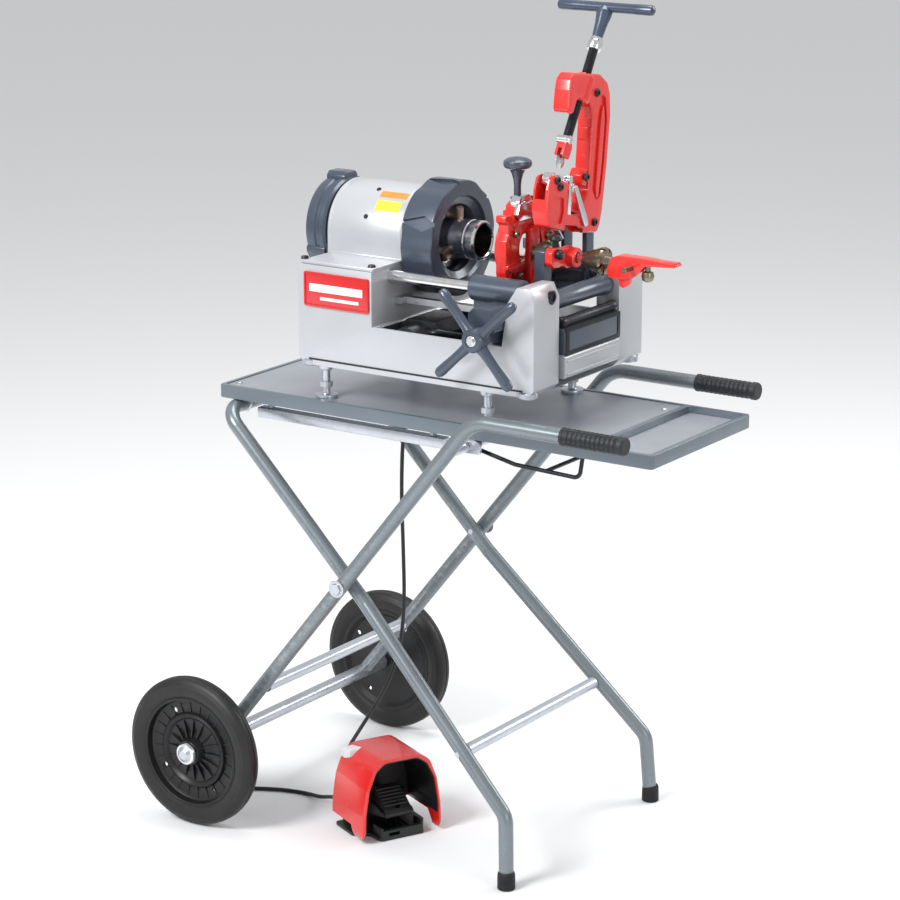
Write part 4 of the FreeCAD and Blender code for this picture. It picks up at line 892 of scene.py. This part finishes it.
# ---------------------------------------------------------------- carriage and its tools
def make_carriage():
    """Carriage, handwheel and their fittings."""
    shapes = []
    for sign in (-1, 1):
        shapes.append(ring(24, 11.4, 112, (128, sign * 130, 1100), X, 3, 48))
        shapes.append(slab([(131, 1062), (237, 1062), (237, 1084), (226, 1102), (142, 1102), (131, 1084)],
                           sign * 110 - 10, sign * 110 + 10, "XZ", 2.5, 6))
    shapes.append(carved(
        slab([(-134, 1058), (134, 1058), (134, 1079), (110, 1080), (80, 1076), (-80, 1076), (-110, 1080),
              (-134, 1079)],
             130, 238, "YZ", 2.5, 5),
        slab([(-60, 1050), (60, 1050), (60, 1090), (-60, 1090)], 150, 218, "YZ", 0, 14),
        block(500, 22, 20, 184, -98, 1041, 0)))
    shapes.append(carved(slab([(173, 1040), (234, 1040), (234, 1072), (222, 1084), (185, 1084), (173, 1072)],
                              -219, -126,
                              "XZ", 4, 10, 3), block(500, 22, 20, 184, -98, 1041, 0)))
    shapes.append(ring(17, 9.3, 46, (203.5, -219, 1030), Y, 2, 40))
    shapes.append(ring(15, 9.3, 48, (203.5, -170, 1030), Y, 1.5, 40))
    for x in (125.2, 170.8):
        ear = slab([(103, 1072), (133, 1072), (133, 1180), (126, 1193), (110, 1193), (103, 1180)], x, x + 8,
                   "YZ", 1.5, 6)
        shapes.append(ear)
    shapes.append(slab([(91, 1072), (117, 1072), (117, 1196), (110, 1205), (98, 1205), (91, 1196)], 225, 235,
                       "YZ", 1.2, 6))
    shapes.append(slab([(-65, 1072), (-39, 1072), (-39, 1166), (-45, 1170), (-59, 1170), (-65, 1166)], 218,
                       240, "YZ", 2, 4))
    shapes.append(ring(10, 7, 4, (203.5, -174, 1052), Z, 1, 24))
    piece("tool_carriage", shapes, "dark_casting", "carriage", ["carriage"])
    round_bar = pipe([(150, -74, 1088), (196, -80, 1092), (236, -80, 1092)], 8, 12)
    elbow = pipe([(140, -112, 1086), (140, -60, 1092), (150, 60, 1092), (150, 106, 1086)], 7, 30)
    piece("oil_pipe_run", [round_bar, elbow], "dark_casting", "carriage")
    hub = carved(lathe([(0, -13), (18, -13), (22, -10), (22, 12), (19, 16), (12, 17), (11, 14), (0, 14)],
                       (203.5, -238, 1030), -Y, 48), rod(9, 80, (203.5, -200, 1030), -Y, 0))
    spokes = []
    for angle in (42, 132, 222, 312):
        turn = math.radians(angle)
        way = Vector((math.cos(turn), 0, math.sin(turn)))
        spokes.append(lathe([(0, 12), (12, 14), (11.4, 20), (9.8, 30), (9.2, 42), (9.0, 60), (9.4, 76),
                             (10.2, 96), (9.8, 104),
                             (7, 110), (3.5, 111.7), (0, 112)], Vector((203.5, -238, 1030)), way, 32))
    piece("carriage_handwheel", [hub] + spokes, "dark_casting", "handwheel", ["handwheel"])
    piece("handwheel_end_screw", [hexagon(13, 5, (203.5, -252, 1030), -Y), lathe(
        [(0, 0), (11, 0), (11.4, 1), (10, 2.4), (0, 2.4)], (203.5, -250.5, 1030), -Y, 32)], "bright_steel",
          "handwheel")


def make_die_head():
    """Die head with its cam plates, lever and dies."""
    ring_points = []
    for k in range(48):
        a = 2 * math.pi * k / 48
        ring_points.append((67 * math.cos(a), 1158 + 67 * math.sin(a)))
    face = slab(ring_points, 137, 167, "YZ", 2)
    bore = rod(36, 80, (120, 0, 1158), X, 0, 48)
    slots = [moved(block(16, 20.4, 160, 146, 0, -80, 0), Matrix.Translation((0, 0, 1158)) @
                   Matrix.Rotation(math.radians(a), 4, "X")) for a in (0, 90)]
    shapes = [carved(face, bore, *slots)]
    shapes.append(carved(ring(71.6, 60, 8, (134.4, 0, 1158), X, 1.5, 72),
                         slab([(-90, 1070), (-30, 1070), (-50, 1130), (-90, 1130)], 120, 150,
                              "YZ")))
    arm = slab([(54, 1164), (112, 1158), (124, 1160), (134, 1170), (134, 1182), (126, 1192), (110, 1194),
                (60, 1202), (44, 1214), (38, 1204)], 140, 166, "YZ", 3, 5)
    shapes += [arm, ring(17.5, 6.5, 35, (134.5, 118, 1176), X, 2, 40),
               rod(6.9, 50, (127.5, 118, 1176), X, 1.5)]
    left_post = slab([(-70, 1176), (-58, 1184), (-56, 1216), (-64, 1226), (-84, 1228), (-86, 1216),
                      (-76, 1210),
                      (-74, 1192), (-82, 1180), (-84, 1120), (-78, 1100), (-66, 1096), (-62, 1112),
                      (-62, 1150)],
                     146, 168, "YZ", 2.4, 5)
    shapes.append(left_post)
    front_leg = slab([(-14, 1196), (10, 1200), (16, 1180), (12, 1096), (6, 1084), (-12, 1084), (-18, 1098),
                      (-16, 1150)],
                     166, 180, "YZ", 2.6, 5)
    shapes.append(front_leg)
    shapes.append(slab([(-82, 1136), (10, 1136), (10, 1124), (-4, 1118), (-70, 1120), (-82, 1126)], 160, 172,
                       "YZ", 2, 4))
    shapes.append(block(35, 47, 26, 152, -20, 1204, 3, 3))
    shapes.append(slab([(-44, 1222), (6, 1222), (2, 1240), (-8, 1246), (-32, 1246), (-42, 1240)], 140, 164,
                       "YZ", 2.5, 4))
    shapes.append(slab([(18, 1188), (40, 1206), (60, 1202), (64, 1180), (52, 1160), (60, 1140), (44, 1124),
                        (30, 1136)],
                       158, 180, "YZ", 3, 6))
    shapes.append(slab([(34, 1138), (58, 1136), (60, 1112), (48, 1104), (36, 1112)], 150, 178, "YZ", 2.4, 5))
    piece("die_head_body", shapes, "tool_red", "die_head", ["die_head"])
    seats = []
    for y, z, r in ((-40, 1110, 6), (26, 1118, 7), (48, 1124, 8), (-52, 1190, 6)):
        seats.append(lathe([(0, 0), (r, 0), (r + 0.6, 1), (r, 5), (r * 0.5, 6), (r * 0.5, 4), (0, 4)],
                           (170, y, z), X, 28))
    seats.append(ring(9, 5, 8, (179, 40, 1176), X, 1, 36))
    piece("die_head_screws", seats + [rod(4.5, 14, (172, 40, 1176), X, 1)], "oiled_steel", "die_head")
    plates = [slab([(-46, 1246), (8, 1246), (14, 1234), (30, 1226), (34, 1214), (22, 1206), (10, 1214),
                    (-48, 1214), (-56, 1226)], 166, 176, "YZ", 1.5, 4),
              slab([(-34, 1258), (-6, 1258), (2, 1248), (2, 1236), (-40, 1236), (-42, 1248)], 150, 170, "YZ",
                   1.5, 4),
              pipe([(174, 26, 1226), (176, 60, 1200), (178, 92, 1160)], 5.5, 14),
              ring(8, 4.5, 10, (170, 24, 1226), X, 1, 32), ring(13, 6.4, 6, (-0, 0, 0), Z, 1, 36)]
    moved(plates[-1], Matrix.Translation((152, -20, 1249)))
    piece("cam_plates", plates, "bright_steel", "die_head")
    pockets = [slab([(-70, 1206), (-50, 1206), (-46, 1168), (-60, 1160), (-72, 1170)], 150, 165, "YZ", 2, 4),
               slab([(14, 1250), (24, 1250), (28, 1222), (16, 1222)], 148, 162, "YZ", 1.5, 3),
               rod(11, 10, (152, -20, 1243), Z, 2),
               slab([(62, 1180), (80, 1176), (84, 1150), (66, 1144)], 150, 164, "YZ", 2, 4)]
    piece("die_head_links", pockets, "black_steel", "die_head")
    chasers = []
    for k in range(4):
        tooth = slab([(-7.5, 21), (-7.5, 23), (-6.3, 21), (-5.1, 23), (-3.9, 21), (-2.7, 23), (-1.5, 21),
                      (-0.3, 23),
                      (0.9, 21), (2.1, 23), (3.3, 21), (4.5, 23), (7.5, 23), (7.5, 59), (-7.5, 59)], -9.8,
                     9.8, "XZ", 0)
        chasers.append(moved(tooth, Matrix.Translation((146, 0, 1158)) @ Matrix.Rotation(math.radians(90 * k),
                4, "X")))
    piece("die_chasers", chasers, "machined_steel", "die_head", ["thread_dies"])
    stem = lathe([(0, 0), (6, 0), (6, 18), (9.5, 20), (9.5, 24), (7, 27), (6.6, 50), (8, 62), (11, 72),
                  (15, 80), (24, 84), (26.6, 88), (27, 92), (25.5, 97), (19, 101), (8, 103.4), (0, 104)],
                 (152, -20, 1224), Z, 56)
    piece("cam_lever_knob", [stem], "dark_casting", "die_lever", ["die_lever"])


def make_reamer():
    """Reamer arm, bar and cone."""
    shapes = [slab([(-70, 1146), (-62, 1138), (-46, 1136), (-30, 1138), (-16, 1130), (4, 1130), (13, 1140),
                    (13, 1160),
                    (4, 1169), (-16, 1169), (-36, 1170), (-46, 1174), (-62, 1174), (-70, 1166)], 243, 259,
                   "YZ", 2.4, 6),
              ring(18.6, 9.3, 33, (243, -6, 1150), X, 2, 48), rod(6.9, 44, (218, -52, 1156), X, 1.4)]
    piece("reamer_bracket", shapes, "tool_red", "reamer_arm", ["reamer_arm"])
    cap = [lathe([(0, 0), (9, 0), (9.6, 1), (9.6, 8), (8, 11), (0, 11.6)], (259, -52, 1162), X, 32),
           lathe([(0, 0), (6, 0), (6, 14), (11, 16), (12, 20), (9, 25), (0, 26)], (252, -46, 1170), Z, 32)]
    piece("reamer_pin_cap", cap, "black_steel", "reamer_arm")
    flutes = []
    for k in range(6):
        flutes.append(moved(slab([(-6, 12), (60, 12), (60, 60), (-6, 60)], -3.2, 3.2, "XZ", 0),
                            Matrix.Translation((176, -6, 1150)) @ Matrix.Rotation(math.radians(60 * k), 4,
                                    "X") @
                            Matrix.Rotation(math.radians(16), 4, "Z")))
    cone = carved(lathe([(0, 0), (8, 0), (10, 1.5), (29, 36), (30, 39), (30, 43), (28, 44), (14, 44),
                         (0, 44)],
                        (176, -6, 1150), X, 72), *flutes)
    piece("fluted_cone", [cone], "oiled_steel", "reamer", ["reamer_cone"])
    rear_cone = lathe([(9, 0), (13, 0), (16, 6), (25, 34), (26, 40), (24, 44), (13, 46), (9, 46), (9, 0)],
                      (292, -6, 1150),
                      X, 56)
    grooves = [moved(slab([(-4, 14), (60, 14), (60, 40), (-4, 40)], -2.6, 2.6, "XZ", 0),
                     Matrix.Translation((292, -6, 1150)) @
                     Matrix.Rotation(math.radians(45 * k), 4, "X") @ Matrix.Rotation(math.radians(14), 4,
                             "Z"))
               for k in range(8)]
    piece("stop_sleeve", [carved(rear_cone, *grooves)], "oiled_steel", "reamer")
    bar = lathe([(0, 0), (8, 0), (9, 1), (9, 40), (8.4, 41), (8.4, 43), (9, 44), (9, 195), (8, 196),
                 (0, 196)],
                (220, -6, 1150), X, 40)
    piece("reamer_slide_bar", [bar], "bright_steel", "reamer", ["reamer_bar"])
    lever = [slab([(344, 1134), (352, 1160), (366, 1166), (416, 1166), (486, 1162), (487, 1156), (424, 1152),
                   (414, 1140), (400, 1128), (376, 1122), (350, 1124)], -19, 7, "XZ", 2.4, 5),
             block(92, 20, 6, 440, -6, 1158, 2, 3),
             slab([(364, 1128), (388, 1128), (386, 1112), (378, 1106), (370, 1108)], -14, 2, "XZ", 1.6, 4)]
    piece("reamer_lever", lever, "tool_red", "reamer")
    knob = [lathe([(0, 0), (5, 0), (5, 10), (10, 12), (12, 20), (10, 27), (5, 30), (0, 30)], (424, -6, 1152),
                  -Z, 32),
            rod(5, 26, (396, -19, 1146), -Y, 1)]
    piece("reamer_lever_knob", knob, "oiled_steel", "reamer")


CUTTER_BASE = Matrix.Translation((226, 104, 1196)) @ Matrix.Rotation(math.radians(-8), 4, "X")
FEED = CUTTER_BASE @ Matrix.Translation((0, -112, 112)) @ Matrix.Rotation(math.radians(-22.5), 4, "X")


def make_cutter():
    """Pipe cutter with its rollers, slide, wheel and screw."""
    outline = [(14, -20), (22, -6), (27, 24), (30, 110), (28, 200), (20, 240), (8, 260), (-20, 274),
               (-112, 274),
               (-124, 262), (-127, 242), (-127, 202), (-106, 198), (-96, 226), (-60, 228), (-44, 214),
               (-36, 190),
               (-30, 60), (-44, 36), (-80, 30), (-94, 40), (-99, 72), (-152, 88), (-166, 84), (-172, 60),
               (-172, 20), (-160, -8), (-120, -14), (-60, -20)]
    body = slab(outline, -17, 17, "YZ", 5, 9, 3)
    hollow = [slab([(0, 40), (14, 50), (17, 110), (15, 190), (4, 232), (-12, 240), (-22, 196), (-18, 60)], x,
                   x + 12, "YZ", 0, 8)
              for x in (12.5, -24.5)]
    hollow += [slab([(-154, 0), (-118, -2), (-112, 20), (-116, 46), (-152, 48), (-158, 24)], x, x + 12, "YZ",
                    0, 6)
               for x in (13.5, -25.5)]
    hollow.append(slab([(-108, -40), (-104, -4), (-60, -6), (-40, -12), (-30, -40)], -30, 30, "YZ"))
    hollow.append(slab([(-104, 60), (-98, 16), (-60, 10), (-44, 22), (-50, 60)], -30, 30, "YZ"))
    hollow.append(block(22, 90, 60, 0, -134, 42, 0))
    hollow.append(block(10.6, 104, 46, 4, 0, -30, 0))
    shell = carved(body, *hollow)
    boss = moved(lathe([(9.4, 118), (17, 118), (20, 122), (20, 166), (17, 170), (9.4, 170), (9.4, 118)],
                       steps=48),
                 CUTTER_BASE.inverted() @ FEED)
    pads = [slab([(-36, 150), (-24, 154), (-24, 176), (-38, 176)], -14, 14, "YZ", 2, 3),
            slab([(-30, 96), (-48, 100), (-56, 86), (-50, 70), (-30, 66)], -13, 13, "YZ", 2, 4)]
    web = slab([(2, 44), (8, 50), (10, 110), (8, 190), (-1, 226), (-6, 190), (-4, 60)], 10, 16.4, "YZ", 1.2,
               4)
    pin = rod(6.9, 34, (-26, 0, 0), X, 1.4)
    piece("cutter_arch", [shell, boss, web, pin] + pads, "tool_red", "cutter", ["cutter_frame"],
          matrix=CUTTER_BASE)
    screws = []
    for y, z in ((-30, 240), (-132, 66), (-144.5, 78), (0, 0), (-43, 84)):
        screws.append(lathe([(0, 0), (7.5, 0), (8, 1), (7, 4), (3.5, 4.6), (3.4, 3), (0, 3)], (17, y, z), X,
                            28))
    screws.append(slab([(-28, 112), (-20, 112), (-19, 156), (-27, 156)], -12, 12, "YZ", 1, 2))
    piece("cutter_pins", screws, "black_steel", "cutter", matrix=CUTTER_BASE)
    chrome = [slab([(-97, 86), (-86, 86), (-82, 8), (-95, 6)], -15, 15, "YZ", 1.2, 2),
              slab([(-90, 66), (-80, 70), (-34, 10), (-28, -4), (-40, -8), (-48, 2)], 17.4, 22, "YZ", 1.2, 3),
              rod(8, 30, (-15, -104, 152), X, 2, 28)]
    piece("roller_keeper", chrome, "bright_steel", "cutter", matrix=CUTTER_BASE)
    for number, side in ((1, 17), (2, -17)):
        roller = lathe([(0, -10.4), (5, -10.4), (5, -9.2), (12.6, -9.2), (14, -7.8), (14, -1.2), (13.2, -0.6),
                        (13.2, 0.6),
                        (14, 1.2), (14, 7.8), (12.6, 9.2), (5, 9.2), (5, 10.4), (0, 10.4)], (0, side, -44), X,
                       40)
        piece(f"pipe_roller_{number}", [roller], "bright_steel", f"roller_{number}",
              [f"cutter_roller_{number}"], matrix=FEED)
    wheel = lathe([(0, -3.6), (6, -3.6), (7.5, -2.4), (14.9, -0.2), (14.9, 0.2), (7.5, 2.4), (6, 3.6),
                   (0, 3.6)], (0, 0, 0), X, 56)
    piece("cutting_disc", [wheel], "machined_steel", "cutter_wheel", ["cutter_wheel"], matrix=FEED)
    shoe = carved(slab([(-12.6, 8), (12.6, 8), (12.6, 30), (9, 38), (-9, 38), (-12.6, 30)], -9.8, 9.8, "YZ",
                       1.6, 3),
                  block(8, 40, 16, 0, 0, 6, 0))
    piece("disc_slide", [shoe], "tool_red", "cutter_slide", ["cutter_slide"], matrix=FEED)
    thread = [(0, 40), (8.4, 40)]
    for k in range(58):
        start = 41 + k * 3.2
        thread += [(9, start + 0.7), (9, start + 1.5), (7.9, start + 2.2), (7.9, start + 2.8)]
    thread += [(9, 228), (9, 240), (0, 240)]
    piece("feed_screw", [lathe(thread, steps=36)], "black_steel", "cutter_screw", [], matrix=FEED)
    collar = lathe([(9, 222), (13, 222), (14, 224), (14, 238), (12, 241), (12, 246), (9, 248), (9, 222)],
                   steps=40)
    piece("screw_collar_ring", [collar], "bright_steel", "cutter_screw", matrix=FEED)
    neck = lathe([(0, 238), (9.4, 238), (10, 246), (10.5, 256), (12, 276), (14.6, 292), (15, 299), (10, 308),
                  (0, 312)], steps=44)
    bar = lathe([(0, 0), (6, 0.6), (9.2, 3), (10, 7), (10, 40), (9.6, 44), (9.6, 162), (10, 166), (10, 199),
                 (9.2, 203), (6, 205.4), (0, 206)], (-103, 0, 308.5), X, 40)
    piece("feed_handle", [neck, bar], "handle_blue", "cutter_screw", ["cutter_screw"], matrix=FEED)


def make_chip_tray():
    """Chip tray in the end of the base."""
    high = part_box("chip_tray")[1] / MM
    tray = carved(slab([(high.x - 62, 986), (high.x - 6, 986), (high.x - 2, 991), (high.x - 2, 1030),
                        (high.x - 7, 1036),
                        (high.x - 30, 1038), (high.x - 62, 1034)], -97, 97, "XZ", 3, 6, 3),
                  block(40, 176, 60, high.x - 36, 0, 998, 4))
    face = slab([(high.x - 6, 1034), (high.x - 1, 1030), (high.x - 1, 994), (high.x - 6, 990)], -84, 84, "XZ",
                1.0, 2)
    skirt = [slab([(high.x - 62, 942), (high.x - 5, 942), (high.x - 2, 947), (high.x - 2, 982),
                   (high.x - 6, 987),
                   (high.x - 62, 987)], -97, 97, "XZ", 2.4, 4, 3)]
    skirt += [block(4, 180, 4, high.x - 2, 0, z, 1.4, 3) for z in (948, 972)]
    frame_edge = carved(slab([(-96, 986), (96, 986), (96, 1037), (-96, 1037)], high.x - 5, high.x - 0.4, "YZ",
                             1.2, 5),
                        slab([(-86, 994), (86, 994), (86, 1029), (-86, 1029)], high.x - 20, high.x + 9, "YZ",
                             0, 4))
    bar = lathe([(0, 0), (10, 0), (11, 2), (11, 16), (9.6, 19), (9.6, 173), (11, 176), (11, 190), (10, 192),
                 (0, 192)],
                (292, -96, 1045), Y, 40)
    piece("chip_tray_box", [tray, face], "tray_slate", "tray", ["chip_tray"])
    piece("chip_tray_skirt", skirt, "cast_grey", "tray")
    piece("chip_tray_trim", [frame_edge, bar], "black_steel", "tray")


# ---------------------------------------------------------------- foot switch
def make_switch():
    """Foot switch hood, base and pedal."""
    def outline(shrink, floor=0):
        h, w = 166 - shrink, 88 - shrink
        return [(-w, floor), (-w + 2, 60), (-w + 10, 112), (-w + 26, h - 14), (-w + 46, h), (w - 46, h),
                (w - 26, h - 14),
                (w - 10, 112), (w - 2, 60), (w, floor)]
    hood = slab(outline(0), -132, 0, "YZ", 6, 26, 3)
    inside = slab(outline(6, -30), -126, 30, "YZ", 0, 24)
    opening = slab([(-48, -30), (-50, 78), (-40, 96), (-26, 102), (34, 102), (50, 94), (60, 72), (68, -30)],
                   -70, 40, "YZ", 0, 6)
    rise = slab([(-160, -30), (-160, 32), (-50, 30), (-42, 8), (-36, -30)], -200, -20, "XZ")
    far_rise = slab([(-160, -30), (-160, 32), (-46, 32), (-30, 12), (-22, -30)], 20, 200, "XZ")
    toe = slab([(-22, -30), (-14, 6), (0, 26), (30, 40), (30, -30)], -200, -20, "XZ")
    far_toe = slab([(-20, -30), (-14, 8), (30, 14), (30, -30)], 20, 200, "XZ")
    lean = slab([(-8, 180), (30, 180), (30, 20), (6, 20), (3, 100)], -200, 200, "XZ")
    shell = carved(hood, inside, opening, rise, far_rise, toe, far_toe, lean)
    crest = slab([(-40, 150), (40, 150), (30, 165.6), (-30, 165.6)], -116, -26, "YZ", 3, 8, 3)
    piece("switch_hood", [shell, crest], "hood_red", "root", ["pedal_guard"], matrix=SWITCH)
    lining = carved(slab(outline(6.2, 34), -125.6, -4, "YZ", 0, 24),
                    slab(outline(7.4, -60), -124.4, 30, "YZ", 0, 24),
                    slab([(-47, -30), (-49, 78), (-39, 97), (-26, 103), (34, 103), (51, 95), (61, 72),
                          (69, -30)], -70, 40, "YZ"))
    piece("switch_hood_lining", [lining], "black_plastic", "root", matrix=SWITCH)
    rear = [slab([(-131, 118), (-131, 152), (-120, 163.4), (-92, 165.8), (-92, 150), (-118, 140)], -66, 4,
                 "XZ", 1.6, 4),
            block(3, 60, 44, -131.4, -30, 104, 1.2)]
    piece("switch_rear_cover", rear, "pale_cap", "root", matrix=SWITCH)
    base = [slab([(-131, -80), (-60, -80), (-40, -50), (-4, -46), (-4, 50), (-40, 56), (-60, 80), (-131, 80)],
                 0.6, 7, "XY", 1.6, 8),
            block(26, 130, 52, -116, 0, 6, 4, 3), block(12, 8, 34, -98, -40, 6, 2),
            block(12, 8, 34, -98, 40, 6, 2)]
    base += [block(34, 5, 22, -22, y, 5, 1.6) for y in (-42, 46)]
    base.append(carved(block(10, 92, 16, -9, 2, 5, 2), block(30, 24, 7, -9, -16, 9, 1)))
    treads = [block(86, 3, 2.6, -52, y, 6.2, 0.8) for y in range(-36, 41, 12)]
    piece("switch_base_moulding", base + treads, "black_plastic", "root", ["pedal_base"], matrix=SWITCH)
    low_side = [(-108, 28), (-100, 24), (-60, 34), (-24, 42), (-16, 40), (-13, 48), (-22, 56), (-44, 72),
                (-66, 86), (-78, 86), (-92, 70), (-108, 44)]
    tread = carved(slab(low_side, -30, 30, "XZ", 2, 4),
                   slab([(-40, -8), (-22, -8), (-22, 8), (-40, 8)], 0, 90, "XY", 0, 4))
    wings = [slab([(-104, 28), (-60, 36), (-22, 43), (-16, 46), (-22, 52), (-60, 62), (-100, 48)], y - 3,
                  y + 3, "XZ", 1.4, 3)
             for y in (-30.6, 30.6)]
    ribs = [moved(block(3, 52, 3, 0, 0, 0, 0.8),
                  Matrix.Translation((-62 + 6.6 * k, 0, 82.4 - 4.4 * k))) for k in range(6)]
    piece("foot_pedal_tread", [tread] + wings + ribs, "black_plastic", "pedal", ["foot_pedal"], matrix=SWITCH)


# ---------------------------------------------------------------- the rest keeps its CAD shape
KEPT_FINISHES = {
    "support_rails": "frame_zinc", "levelling_feet": "frame_zinc", "guide_rods": "bright_steel",
    "carriage_rack": "machined_steel", "oil_pump": "machined_steel", "spindle_bearings": "brass_bush",
    "motor": "machined_steel", "spindle_tube": "bright_steel", "drive_gear": "machined_steel",
    "rear_jaws": "machined_steel", "motor_pinion": "machined_steel", "handwheel_shaft": "machined_steel",
    "leg_near": "frame_paint", "leg_far": "frame_paint", "leg_crossbars": "rung_zinc",
    "handle_tube_near": "frame_paint", "handle_tube_far": "frame_paint", "handle_crossbars": "rung_zinc",
    "wheel_axle": "frame_zinc", "lock_bail": "black_steel", "machine_base": "cast_grey",
    "headstock_housing": "cast_grey",
}


def finish_kept_nodes():
    """Softens and paints the nodes that are kept as they come."""
    for node, material in KEPT_FINISHES.items():
        paint_node(node, material)
    soften_node("machine_base", 4, 3)
    soften_node("headstock_housing", 3, 2)
    soften_node("levelling_feet", 0.6)
    soften_node("support_rails", 1.2)


make_camera()
make_studio()
make_cords()
make_wheels()
make_feet()
make_grips()
make_stand_details()
make_table()
make_bed()
make_plaque()
make_headstock()
make_rings()
make_chuck()
make_carriage()
make_die_head()
make_reamer()
make_cutter()
make_chip_tray()
make_switch()
finish_kept_nodes()
